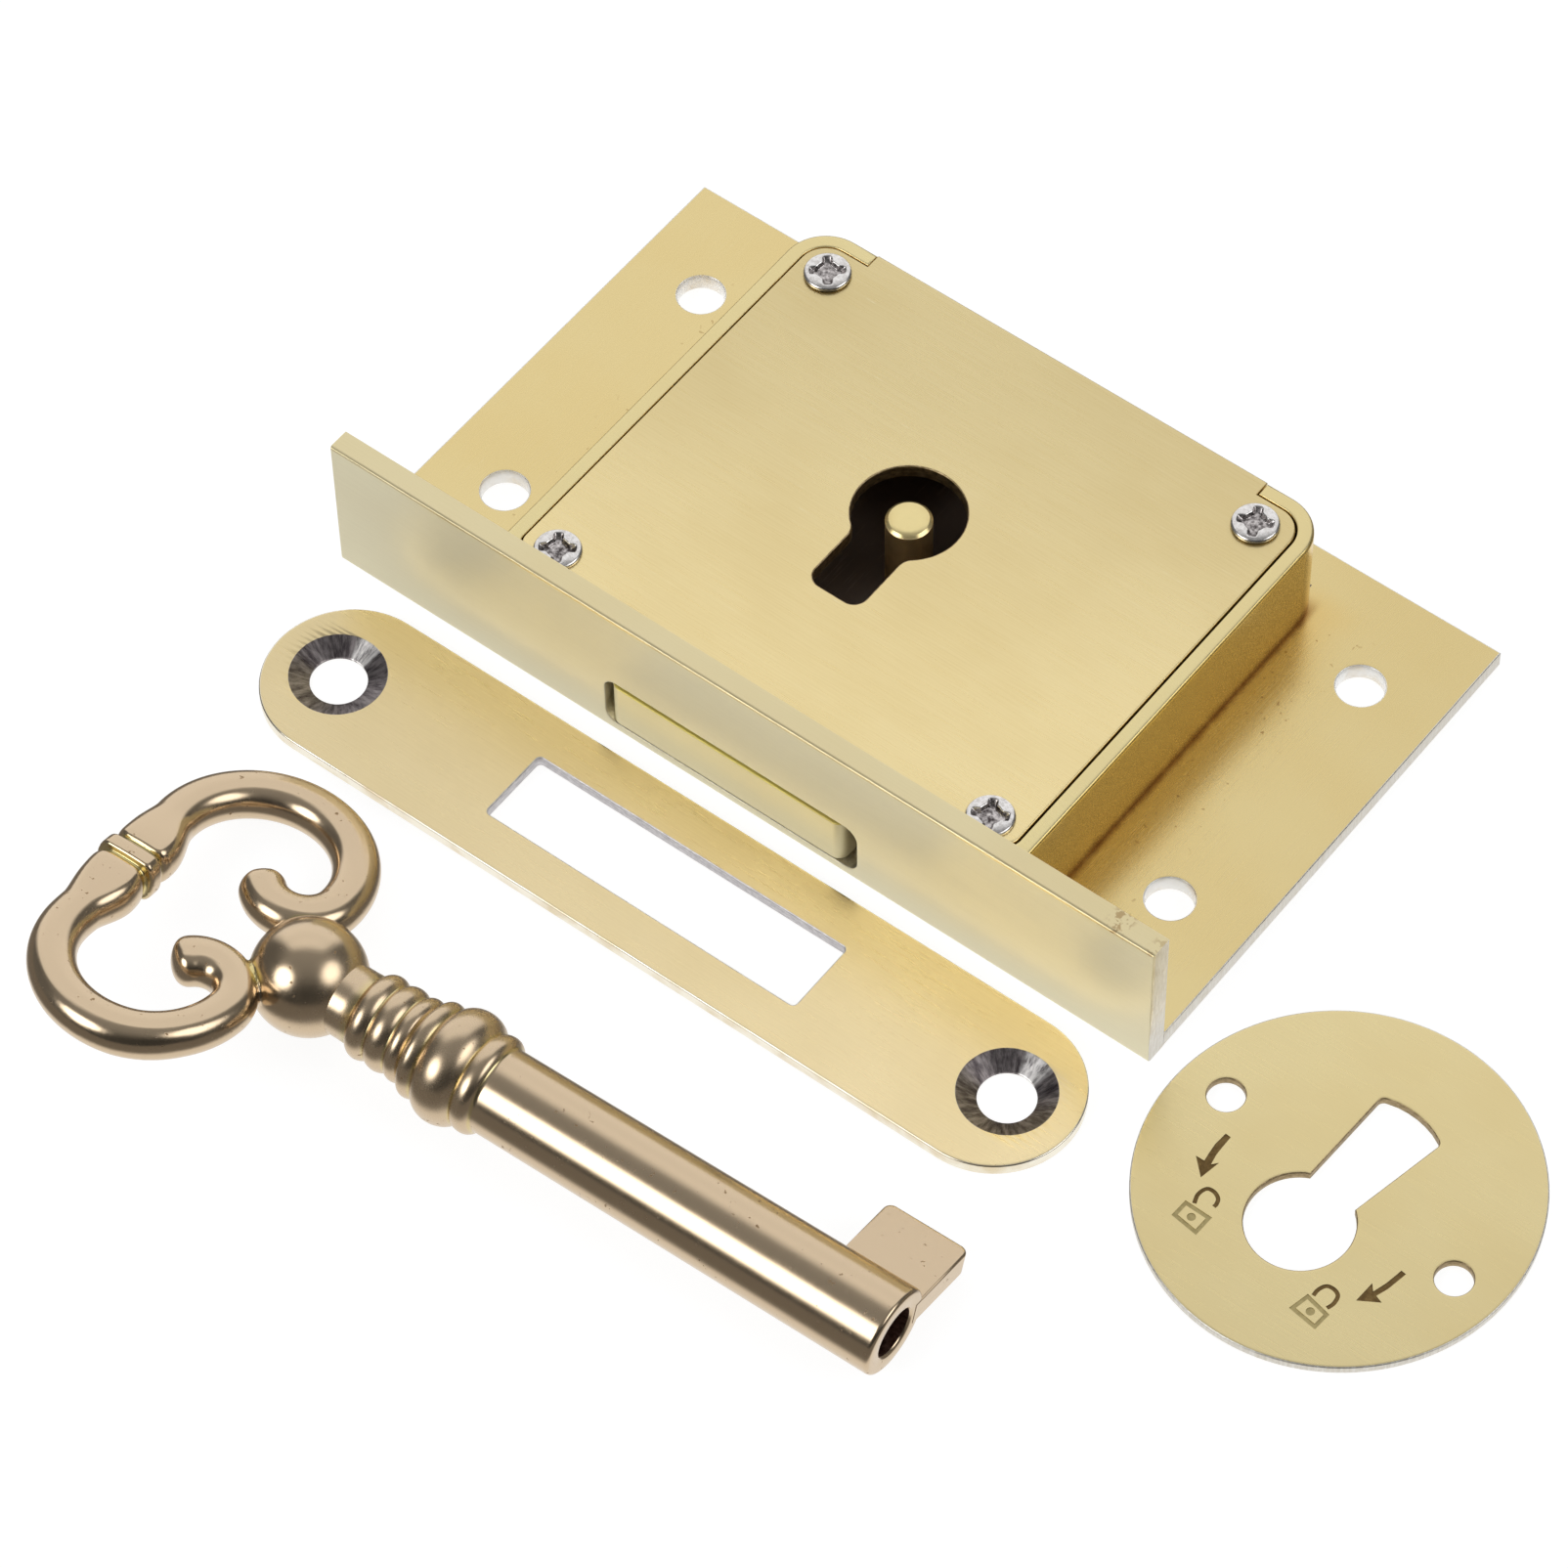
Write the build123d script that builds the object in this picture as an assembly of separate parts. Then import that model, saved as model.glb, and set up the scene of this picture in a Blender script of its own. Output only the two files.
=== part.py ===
from build123d import *
import math
import os

# Drawer lock with its key, strike plate and escutcheon, laid out on a table, in millimetres.
# The origin is the centre of the four fixing holes on the back face, +Z is up out of the table,
# and the bolt leaves the lock towards -Y.

os.makedirs("parts", exist_ok=True)

# Back plate and the selvedge folded up along its front
PLATE_LENGTH = 100.0
PLATE_DEPTH = 59.2
PLATE_THICK = 2.0
SELVEDGE_HEIGHT = 18.0
SELVEDGE_THICK = 2.5
SELVEDGE_ROUND = 0.4
FIXING_INSET_X = 8.7
FIXING_SPACING_Y = 32.0
FIXING_SETBACK = 15.5
FIXING_R = 2.5

# Case walls and cover
CASE_WIDTH = 64.0
CASE_REAR = 55.1
CASE_TOP = 13.4
CASE_WALL = 1.7
CASE_CORNER_R = 4.8
CASE_FRONT_R = 0.8
COVER_FRONT_R = 1.45
CASE_EDGE_R = 0.4
COVER_THICK = 1.6
COVER_GAP = 0.15
COVER_TAB_WIDTH = 48.0
SCREW_INSET_SIDE = 5.55
SCREW_INSET_FRONT = 3.7
SCREW_INSET_REAR = 5.4
BOSS_R = 3.2

# Cover screws, with a flat head and a cross recess
SCREW_HEAD_R = 2.45
SCREW_HEAD_HEIGHT = 0.7
SCREW_SHANK_R = 1.25
SCREW_LENGTH = 8.0
SCREW_HOLE_GAP = 0.15
RECESS_SPAN = 3.0
RECESS_WIDTH = 0.7
RECESS_DEPTH = 1.1

# Rivets that hold the case walls to the back plate, and the seats of all riveted ends
RIVET_R = 1.3
RIVET_HEAD_R = 2.3
RIVET_HEAD_HEIGHT = 0.9
RIVET_LENGTH = 5.0
FIT = 0.02

# Drill pin and keyhole
PIN_OFFSET = -1.8
BACKSET = 30.7
PIN_R = 2.4
PIN_TOP = 12.6
PIN_CHAMFER = 0.35
PIN_TENON_R = 1.8
KEYHOLE_R = 5.8
KEYHOLE_SLOT_WIDTH = 6.2
KEYHOLE_REACH = 12.5
KEYHOLE_CORNER_R = 1.5
KEYHOLE_NECK_R = 1.8

# Bolt head in its slot in the selvedge
SLOT_LEFT = -15.7
SLOT_RIGHT = 15.1
SLOT_BOTTOM = 1.2
SLOT_TOP = 7.8
SLOT_CORNER_R = 1.6
HEAD_GAP_LEFT = 0.8
HEAD_GAP_RIGHT = 1.8
HEAD_GAP_TOP = 0.4
HEAD_GAP_BOTTOM = 0.1
HEAD_EDGE_R = 1.2
HEAD_LENGTH = 15.0
BOLT_THROW = 7.5

# Bolt tail: a U of two arms round the space that the key turns in
TAIL_THICK = 2.5
TAIL_LIFT = 0.1
TAIL_FRONT_GAP = 0.3
TAIL_REACH = 19.4
ARM_WIDTH_LEFT = 5.4
ARM_WIDTH_RIGHT = 7.9
ARM_CORNER_R = 1.2
KEY_SWEEP_GAP = 0.9
TALON_BITE = 0.7
TALON_WIDTH = 3.6
TALON_DEPTH = 1.6

# Posts that the bolt tail slides on
GUIDE_R = 1.5
GUIDE_GAP = 0.06
GUIDE_END_GAP = 0.2
GUIDE_INSET_LEFT = 2.7
GUIDE_INSET_RIGHT = 4.7
GUIDE_REACH = 4.8
GUIDE_HEAD_R = 2.3
GUIDE_HEAD_HEIGHT = 0.45
GUIDE_HEAD_GAP = 0.1
TENON_R = 1.1

# Stump on the bolt tail that the lever drops behind
STUMP_R = 1.2
STUMP_INSET = 2.0
STUMP_REAR_INSET = 2.6
STUMP_TOP = 7.0

# Lever, its pivot and its spring
LEVER_BOTTOM = 5.4
LEVER_THICK = 1.6
PIVOT_SIDE = 21.8
PIVOT_DROP = 14.2
LEVER_RING_R = 3.3
LEVER_BORE_GAP = 0.05
LEVER_BELLY_BITE = 2.0
LEVER_BELLY_LENGTH = 7.2
LEVER_OUTER_REACH = 19.4
LEVER_TIP_WIDTH = 3.9
LEVER_TIP_REACH = 19.0
LEVER_STUMP_GAP = 0.05
POCKET_SLACK = 0.25
POCKET_DEPTH = 1.2
PIVOT_R = 1.5
PIVOT_SHOULDER_R = 2.4
PIVOT_HEAD_HEIGHT = 0.6
SPRING_THICK = 0.4
SPRING_WALL_GAP = 0.05
SPRING_SEAT = 1.0
SPRING_REACH = 17.0

# Strike plate
STRIKE_LENGTH = 96.9
STRIKE_WIDTH = 18.4
STRIKE_THICK = 1.3
STRIKE_HOLE_INSET = 7.55
STRIKE_HOLE_R = 2.9
STRIKE_SINK_R = 4.9
STRIKE_SINK_DEPTH = 1.05
STRIKE_SLOT_LENGTH = 37.9
STRIKE_SLOT_WIDTH = 8.4
STRIKE_SLOT_CORNER_R = 0.5
STRIKE_X = 0.8
STRIKE_APART = 2.5

# Escutcheon
DISC_R = 19.75
DISC_THICK = 0.9
DISC_HOLE_INSET = 5.1
DISC_HOLE_R = 1.9
DISC_KEYHOLE_R = 5.35
DISC_KEYHOLE_DROP = 5.4
DISC_SLOT_NECK = 5.0
DISC_SLOT_END = 7.5
DISC_SLOT_REACH = 10.9
DISC_SLOT_END_R = 9.0
DISC_SLOT_CORNER_R = 0.7
DISC_APART = 2.95
DISC_SET_FORWARD = 0.8
DISC_TURN = -7.2

# Key: barrel, bit and neck rings, measured from the centre of the ball
KEY_LENGTH = 68.0
BALL_R = 5.5
NECK_R = 3.5
BARREL_NECK_R = 4.45
BARREL_TIP_R = 4.6
BARREL_TIP_CHAMFER = 0.4
BORE_R = 2.6
BORE_DEPTH = 15.0
BIT_REACH = 12.0
BIT_WIDTH = 8.7
BIT_THICK = 2.9
BIT_CORNER_R = 0.9
RING_EDGES = (7.4, 9.6, 12.0, 13.8, 15.8, 20.3, 22.5)
RING_VALLEY_R = (3.6, 3.7, 3.7, 3.9, 4.7, 4.8, BARREL_NECK_R)
RING_CREST_R = (4.3, 4.3, 4.35, 5.1, 6.0, 5.2)

# Key bow: two C-scrolls tied by a binding
BOW_WIDTH = 4.8
BOW_THICK = 4.3
BOW_SIDE = 1.2
SCROLL_R = 9.5
SCROLL_X = -12.5
SCROLL_Y = 9.0
SCROLL_START = 186.0
CURL_R = 4.0
CURL_TURN = 134.0
BINDING_X = -21.3
BINDING_RIDGE = 1.8
BINDING_GROOVE = 0.8
RIDGE_WIDTH = 6.9
RIDGE_THICK = 5.0
GROOVE_WIDTH = 5.2
GROOVE_THICK = 3.6
FLARE_WIDTH = 6.4
FLARE_THICK = 4.6
FLARE_LENGTH = 2.8

# Where the key lies
KEY_BALL_SETBACK = 32.8
KEY_APART = 23.0
KEY_TURN = 2.7


# Sizes that follow from the ones above
fixing_x = PLATE_LENGTH / 2 - FIXING_INSET_X
front_y = -(FIXING_SPACING_Y / 2 + FIXING_SETBACK)
rear_y = front_y + PLATE_DEPTH
inner_front_y = front_y + SELVEDGE_THICK
case_rear_y = front_y + CASE_REAR
case_depth = CASE_REAR - SELVEDGE_THICK
case_mid_y = inner_front_y + case_depth / 2
cover_bottom = CASE_TOP - COVER_THICK
pin_y = front_y + BACKSET
screw_x = CASE_WIDTH / 2 - SCREW_INSET_SIDE
screw_front_y = inner_front_y + SCREW_INSET_FRONT
screw_rear_y = case_rear_y - SCREW_INSET_REAR
screw_places = {
    "front_left": (-screw_x, screw_front_y),
    "front_right": (screw_x, screw_front_y),
    "rear_left": (-screw_x, screw_rear_y),
    "rear_right": (screw_x, screw_rear_y),
}
head_left = SLOT_LEFT + HEAD_GAP_LEFT
head_right = SLOT_RIGHT - HEAD_GAP_RIGHT
head_bottom = SLOT_BOTTOM + HEAD_GAP_BOTTOM
head_top = SLOT_TOP - HEAD_GAP_TOP
sweep_r = BIT_REACH
arm_right_x = PIN_OFFSET + sweep_r - TALON_BITE
arm_left_x = PIN_OFFSET - sweep_r - KEY_SWEEP_GAP
crossbar_front_y = inner_front_y + CASE_WALL + BOLT_THROW + TAIL_FRONT_GAP
crossbar_rear_y = pin_y - sweep_r - KEY_SWEEP_GAP
tail_bottom = PLATE_THICK + TAIL_LIFT
tail_top = tail_bottom + TAIL_THICK
tail_rear_y = pin_y + TAIL_REACH
guide_places = {
    "left": (arm_left_x - GUIDE_INSET_LEFT, pin_y + GUIDE_REACH),
    "right": (arm_right_x + GUIDE_INSET_RIGHT, pin_y + GUIDE_REACH),
}
strike_y = front_y - STRIKE_APART - STRIKE_WIDTH / 2
disc_x = PLATE_LENGTH / 2 + DISC_APART + DISC_R
disc_y = front_y - DISC_SET_FORWARD
key_x = KEY_BALL_SETBACK - PLATE_LENGTH / 2
key_y = strike_y - STRIKE_WIDTH / 2 - KEY_APART
stump_x = arm_right_x + STUMP_INSET
stump_y = tail_rear_y - STUMP_REAR_INSET
pivot_x = PIN_OFFSET + PIVOT_SIDE
pivot_y = pin_y - PIVOT_DROP
lever_outer_x = PIN_OFFSET + LEVER_OUTER_REACH
lever_tip_y = pin_y + LEVER_TIP_REACH


def box(x0, x1, y0, y1, z0, z1):
    """Box between two corners."""
    size = Box(x1 - x0, y1 - y0, z1 - z0)
    return Pos((x0 + x1) / 2, (y0 + y1) / 2, (z0 + z1) / 2) * size


def rod(x, y, radius, z0, z1):
    """Upright cylinder between two heights."""
    return Pos(x, y, (z0 + z1) / 2) * Cylinder(radius, z1 - z0)


def slab(outline, z0, z1):
    """Flat outline raised between two heights."""
    return Pos(0, 0, z0) * extrude(outline, amount=z1 - z0)


def sink(x, y, r_low, r_high, z0, z1):
    """Upright cone, for a countersink or a riveted head."""
    return Pos(x, y, (z0 + z1) / 2) * Cone(r_low, r_high, z1 - z0)


def save(name, shape):
    export_step(shape, "parts/" + name + ".step")


def bolt_slot_tool(y0, y1):
    """Rounded slot for the bolt head, along Y."""
    width = SLOT_RIGHT - SLOT_LEFT
    height = SLOT_TOP - SLOT_BOTTOM
    middle = Vector((SLOT_LEFT + SLOT_RIGHT) / 2, y0, (SLOT_BOTTOM + SLOT_TOP) / 2)
    across = Plane(middle, x_dir=(-1, 0, 0), z_dir=(0, 1, 0))
    return extrude(across * RectangleRounded(width, height, SLOT_CORNER_R), amount=y1 - y0)


def back_plate():
    """Plate and selvedge in one piece, with fixing holes, bolt slot and rivet seats."""
    half = PLATE_LENGTH / 2
    selvedge = box(-half, half, front_y, inner_front_y, 0, SELVEDGE_HEIGHT)
    long_edges = selvedge.edges().filter_by(Axis.X)
    selvedge = fillet(long_edges.group_by(Axis.Z)[-1], SELVEDGE_ROUND)
    body = selvedge + box(-half, half, front_y + SELVEDGE_THICK / 2, rear_y, 0, PLATE_THICK)
    body -= bolt_slot_tool(front_y - 1, inner_front_y)
    channel_rear = front_y + HEAD_LENGTH + KEY_SWEEP_GAP
    body -= box(SLOT_LEFT, SLOT_RIGHT, inner_front_y - 0.1, channel_rear, SLOT_BOTTOM, PLATE_THICK + 1)
    for sx in (-1, 1):
        for sy in (-1, 1):
            body -= rod(sx * fixing_x, sy * FIXING_SPACING_Y / 2, FIXING_R, -1, PLATE_THICK + 1)
    for x, y in screw_places.values():
        body -= rod(x, y, RIVET_R + FIT, -1, PLATE_THICK + 1)
        body -= sink(x, y, RIVET_HEAD_R + FIT, RIVET_R + FIT, 0, RIVET_HEAD_HEIGHT)
    body -= rod(PIN_OFFSET, pin_y, PIN_TENON_R + FIT, -1, PLATE_THICK + 1)
    for x, y in [*guide_places.values(), (pivot_x, pivot_y)]:
        body -= rod(x, y, TENON_R + FIT, -1, PLATE_THICK + 1)
    return body


def case_outline(width, depth, front_r, rear_r):
    """Outline about the middle of the case, with its own corner radius in front and at the rear."""
    outline = Rectangle(width, depth)
    outline = fillet(outline.vertices().group_by(Axis.Y)[-1], rear_r)
    return Pos(0, case_mid_y) * fillet(outline.vertices().group_by(Axis.Y)[0], front_r)


def case_frame():
    """Wall round the works, with four bosses, a bolt way in front and a low rear wall for the tab."""
    outer = case_outline(CASE_WIDTH, case_depth, CASE_FRONT_R, CASE_CORNER_R)
    hollow = (CASE_WIDTH - 2 * CASE_WALL, case_depth - 2 * CASE_WALL)
    inner = case_outline(*hollow, COVER_FRONT_R + COVER_GAP, CASE_CORNER_R - CASE_WALL)
    full = slab(outer, PLATE_THICK, CASE_TOP)
    full = fillet(full.edges().group_by(Axis.Z)[-1], CASE_EDGE_R)
    wall = full - slab(inner, PLATE_THICK - 1, CASE_TOP + 1)
    for x, y in screw_places.values():
        wall_x = math.copysign(CASE_WIDTH / 2, x)
        wall_y = case_mid_y + math.copysign(case_depth / 2, y - case_mid_y)
        xs, ys = sorted((x, wall_x)), sorted((y, wall_y))
        corner = box(*xs, *ys, PLATE_THICK, cover_bottom)
        wall += full & (corner + rod(x, y, BOSS_R, PLATE_THICK, cover_bottom))
        wall -= rod(x, y, SCREW_SHANK_R + FIT, CASE_TOP - SCREW_LENGTH - FIT, CASE_TOP + 1)
        wall -= rod(x, y, RIVET_R + FIT, PLATE_THICK - 1, RIVET_LENGTH + FIT)
    tab = COVER_TAB_WIDTH / 2 + COVER_GAP
    wall -= box(-tab, tab, case_mid_y, case_rear_y + 1, cover_bottom, CASE_TOP + 1)
    wall -= box(SLOT_LEFT, SLOT_RIGHT, front_y, case_mid_y, 0, SLOT_TOP)
    return wall


def keyhole_outline():
    """Round hole with a straight slot towards -Y, about the pin's axis."""
    slot = Pos(0, -KEYHOLE_REACH / 2) * Rectangle(KEYHOLE_SLOT_WIDTH, KEYHOLE_REACH)
    slot = fillet(slot.vertices().group_by(Axis.Y)[0], KEYHOLE_CORNER_R)
    outline = Circle(KEYHOLE_R) + slot
    neck_y = -math.sqrt(KEYHOLE_R**2 - (KEYHOLE_SLOT_WIDTH / 2) ** 2)
    necks = [v for v in outline.vertices() if abs(v.Y - neck_y) < 0.01]
    return fillet(necks, KEYHOLE_NECK_R)


def cover_plate():
    """Flat cover flush with the walls, with a tab over the rear wall."""
    width = CASE_WIDTH - 2 * (CASE_WALL + COVER_GAP)
    depth = case_depth - 2 * (CASE_WALL + COVER_GAP)
    outline = case_outline(width, depth, COVER_FRONT_R, CASE_CORNER_R - CASE_WALL - COVER_GAP)
    tab_depth = case_rear_y - case_mid_y
    outline += Pos(0, case_mid_y + tab_depth / 2) * Rectangle(COVER_TAB_WIDTH, tab_depth)
    outline -= Pos(PIN_OFFSET, pin_y) * keyhole_outline()
    plate = slab(outline, cover_bottom, CASE_TOP)
    tab_edge = plate.edges().group_by(Axis.Y)[-1].group_by(Axis.Z)[-1]
    plate = fillet(tab_edge, CASE_EDGE_R)
    for x, y in screw_places.values():
        plate -= rod(x, y, SCREW_SHANK_R + SCREW_HOLE_GAP, cover_bottom - 1, CASE_TOP + 1)
    return plate


def cover_screw(x, y):
    """Flat-headed screw with a cross recess."""
    head = rod(x, y, SCREW_HEAD_R, CASE_TOP, CASE_TOP + SCREW_HEAD_HEIGHT)
    head = chamfer(head.edges().group_by(Axis.Z)[-1], SCREW_HEAD_HEIGHT / 3)
    screw = head + rod(x, y, SCREW_SHANK_R, CASE_TOP - SCREW_LENGTH, CASE_TOP)
    top = CASE_TOP + SCREW_HEAD_HEIGHT
    for span, width in ((RECESS_SPAN, RECESS_WIDTH), (RECESS_WIDTH, RECESS_SPAN)):
        screw -= box(x - span / 2, x + span / 2, y - width / 2, y + width / 2, top - RECESS_DEPTH, top + 1)
    return screw


def frame_rivet(x, y):
    """Countersunk rivet from the back face up into a boss."""
    return rod(x, y, RIVET_R, 0, RIVET_LENGTH) + sink(x, y, RIVET_HEAD_R, RIVET_R, 0, RIVET_HEAD_HEIGHT)


def drill_pin():
    """Pin that the hollow key turns on, riveted through the back plate."""
    shaft = rod(PIN_OFFSET, pin_y, PIN_R, PLATE_THICK, PIN_TOP)
    shaft = chamfer(shaft.edges().group_by(Axis.Z)[-1], PIN_CHAMFER)
    return shaft + rod(PIN_OFFSET, pin_y, PIN_TENON_R, 0, PLATE_THICK)


def tail_outline():
    """U of crossbar and two arms, with the slots for the guide posts and the talon notch."""
    left = arm_left_x - ARM_WIDTH_LEFT
    right = arm_right_x + ARM_WIDTH_RIGHT
    middle = ((left + right) / 2, (crossbar_front_y + tail_rear_y) / 2)
    tail = Pos(*middle) * Rectangle(right - left, tail_rear_y - crossbar_front_y)
    gap_depth = tail_rear_y - crossbar_rear_y
    gap_width = arm_right_x - arm_left_x
    gap_middle = (arm_left_x + arm_right_x) / 2
    tail -= Pos(gap_middle, crossbar_rear_y + gap_depth / 2) * Rectangle(gap_width, gap_depth)
    tail = fillet(tail.vertices(), ARM_CORNER_R)
    notch_y = pin_y + BOLT_THROW / 2
    tail -= Pos(arm_right_x, notch_y) * Rectangle(2 * TALON_DEPTH, TALON_WIDTH)
    for x, y in guide_places.values():
        length = BOLT_THROW + 2 * GUIDE_END_GAP
        slot = SlotCenterToCenter(length, 2 * (GUIDE_R + GUIDE_GAP), rotation=90)
        tail -= Pos(x, y + BOLT_THROW / 2) * slot
    return tail


def bolt():
    """Bolt head and tail in one piece."""
    head = box(head_left, head_right, front_y, front_y + HEAD_LENGTH, head_bottom, head_top)
    lower_edges = head.edges().filter_by(Axis.Y).group_by(Axis.Z)[0]
    head = fillet(lower_edges, SLOT_CORNER_R / 2)
    front_edges = head.edges().filter_by(Axis.Z).group_by(Axis.Y)[0]
    head = fillet(front_edges, HEAD_EDGE_R)
    body = head + slab(tail_outline(), tail_bottom, tail_top)
    return body - rod(stump_x, stump_y, STUMP_R + FIT, tail_bottom - 1, tail_top + 1)


def guide_post(x, y):
    """Headed post, riveted through the back plate."""
    top = tail_top + GUIDE_HEAD_GAP
    post = rod(x, y, TENON_R, 0, PLATE_THICK) + rod(x, y, GUIDE_R, PLATE_THICK, top)
    return post + rod(x, y, GUIDE_HEAD_R, top, top + GUIDE_HEAD_HEIGHT)


def spring_outline(width):
    """Arc from inside the lever's ring that ends along the case wall."""
    wall_x = CASE_WIDTH / 2 - CASE_WALL - SPRING_WALL_GAP - SPRING_THICK / 2
    inset = (LEVER_RING_R - SPRING_SEAT) * math.sqrt(0.5)
    start = (pivot_x + inset, pivot_y + inset)
    end = (wall_x, start[1] + SPRING_REACH)
    return trace(TangentArc(end, start, tangent=(0, -1)), width)


def lever():
    """Lever with a belly in the key's path and a pocket for the thrown stump."""
    belly_x = PIN_OFFSET + sweep_r - LEVER_BELLY_BITE
    belly_front = pin_y - LEVER_BELLY_LENGTH / 2
    belly_rear = pin_y + LEVER_BELLY_LENGTH / 2
    edge_x = stump_x + STUMP_R + LEVER_STUMP_GAP
    pocket_y = stump_y - BOLT_THROW
    pocket_front = pocket_y - STUMP_R - POCKET_SLACK
    pocket_rear = pocket_y + STUMP_R + POCKET_SLACK
    tip_x = edge_x + LEVER_TIP_WIDTH
    bar = make_face(
        Polyline(
            (pivot_x - LEVER_RING_R, pivot_y),
            (belly_x, belly_front),
            (belly_x, belly_rear),
            (edge_x, pocket_front),
            (edge_x + POCKET_DEPTH, pocket_front),
            (edge_x + POCKET_DEPTH, pocket_rear),
            (edge_x, pocket_rear),
            (edge_x, lever_tip_y),
            (tip_x, lever_tip_y),
            (lever_outer_x, belly_rear),
            (lever_outer_x, belly_front),
            (pivot_x + LEVER_RING_R, pivot_y),
            close=True,
        )
    )
    rounded = [v for v in bar.vertices() if abs(v.X - belly_x) < 0.01 or abs(v.Y - lever_tip_y) < 0.01]
    bar = fillet(rounded, 1.0)
    bar += Pos(pivot_x, pivot_y) * Circle(LEVER_RING_R)
    bar -= Pos(pivot_x, pivot_y) * Circle(PIVOT_R + LEVER_BORE_GAP)
    bar -= spring_outline(SPRING_THICK + 2 * FIT)
    return slab(bar, LEVER_BOTTOM, LEVER_BOTTOM + LEVER_THICK)


def lever_pivot():
    """Shouldered post with a riveted head over the lever."""
    x, y = pivot_x, pivot_y
    seat = LEVER_BOTTOM - GUIDE_HEAD_GAP
    head = LEVER_BOTTOM + LEVER_THICK + GUIDE_HEAD_GAP
    post = rod(x, y, TENON_R, 0, PLATE_THICK) + rod(x, y, PIVOT_SHOULDER_R, PLATE_THICK, seat)
    post += rod(x, y, PIVOT_R, seat, head)
    return post + rod(x, y, PIVOT_SHOULDER_R, head, head + PIVOT_HEAD_HEIGHT)


def lever_spring():
    """Leaf spring set in the lever's ring and bowed out against the case wall."""
    return slab(spring_outline(SPRING_THICK), LEVER_BOTTOM, LEVER_BOTTOM + LEVER_THICK)


def strike_plate():
    """Round-ended plate with a bolt opening and two countersunk holes."""
    outline = SlotOverall(STRIKE_LENGTH, STRIKE_WIDTH)
    outline -= RectangleRounded(STRIKE_SLOT_LENGTH, STRIKE_SLOT_WIDTH, STRIKE_SLOT_CORNER_R)
    plate = slab(outline, 0, STRIKE_THICK)
    for side in (-1, 1):
        x = side * (STRIKE_LENGTH / 2 - STRIKE_HOLE_INSET)
        plate -= rod(x, 0, STRIKE_HOLE_R, -1, STRIKE_THICK + 1)
        plate -= sink(x, 0, STRIKE_HOLE_R, STRIKE_SINK_R, STRIKE_THICK - STRIKE_SINK_DEPTH, STRIKE_THICK)
    return Pos(STRIKE_X, strike_y) * plate


def escutcheon_keyhole():
    """Keyhole with a slot that widens to a curved end, towards +Y."""
    hole_y = -DISC_KEYHOLE_DROP
    neck = DISC_SLOT_NECK / 2
    end = DISC_SLOT_END / 2
    sag = DISC_SLOT_END_R - math.sqrt(DISC_SLOT_END_R**2 - end**2)
    corner_y = DISC_SLOT_REACH - sag
    outline = [
        Line((-end, corner_y), (-neck, hole_y)),
        Line((-neck, hole_y), (neck, hole_y)),
        Line((neck, hole_y), (end, corner_y)),
        ThreePointArc((end, corner_y), (0, DISC_SLOT_REACH), (-end, corner_y)),
    ]
    slot = make_face(outline)
    slot = fillet(slot.vertices().group_by(Axis.Y)[-1], DISC_SLOT_CORNER_R)
    return slot + Pos(0, hole_y) * Circle(DISC_KEYHOLE_R)


def escutcheon():
    """Thin disc with a keyhole and two pin holes."""
    outline = Circle(DISC_R) - escutcheon_keyhole()
    for side in (-1, 1):
        outline -= Pos(side * (DISC_R - DISC_HOLE_INSET), 0) * Circle(DISC_HOLE_R)
    return Pos(disc_x, disc_y) * Rot(0, 0, DISC_TURN) * slab(outline, 0, DISC_THICK)


def bow_section(plane, width, thick):
    """Flat top and bottom with round sides."""
    flat = width / 2 - BOW_SIDE
    half = thick / 2
    outline = [
        Line((-flat, -half), (flat, -half)),
        ThreePointArc((flat, -half), (width / 2, 0), (flat, half)),
        Line((flat, half), (-flat, half)),
        ThreePointArc((-flat, half), (-width / 2, 0), (-flat, -half)),
    ]
    return plane * make_face(outline)


def scroll_plane(centre, radius, degrees):
    """Plane across a scroll's line, where it runs clockwise round a centre."""
    c, s = math.cos(math.radians(degrees)), math.sin(math.radians(degrees))
    origin = (centre[0] + radius * c, centre[1] + radius * s, 0)
    return Plane(origin, x_dir=(c, s, 0), z_dir=(s, -c, 0))


def scroll():
    """One C-scroll: flared end, large arc, inner curl and round tip."""
    large = (SCROLL_X, SCROLL_Y)
    curl = (SCROLL_X + SCROLL_R - CURL_R, SCROLL_Y)
    start = scroll_plane(large, SCROLL_R, SCROLL_START)
    body = revolve(bow_section(start, BOW_WIDTH, BOW_THICK), Axis((*large, 0), (0, 0, -1)), SCROLL_START)
    joint = scroll_plane(curl, CURL_R, 0)
    body += revolve(bow_section(joint, BOW_WIDTH, BOW_THICK), Axis((*curl, 0), (0, 0, -1)), CURL_TURN)
    tip = scroll_plane(curl, CURL_R, -CURL_TURN)
    half = bow_section(Plane.XZ, BOW_WIDTH, BOW_THICK)
    half &= Pos(BOW_WIDTH / 2, 0, 0) * Box(BOW_WIDTH, BOW_WIDTH, 2 * BOW_THICK)
    body += Pos(tip.origin) * revolve(half, Axis.Z)
    flare_y = BINDING_RIDGE / 2 + BINDING_GROOVE
    flat_plane = Plane((BINDING_X, flare_y, 0), x_dir=(-1, 0, 0), z_dir=(0, 1, 0))
    sections = [
        bow_section(flat_plane, FLARE_WIDTH, FLARE_THICK),
        bow_section(flat_plane.offset(FLARE_LENGTH), FLARE_WIDTH, FLARE_THICK),
        bow_section(start, BOW_WIDTH, BOW_THICK),
    ]
    return body + loft(sections)


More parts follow.
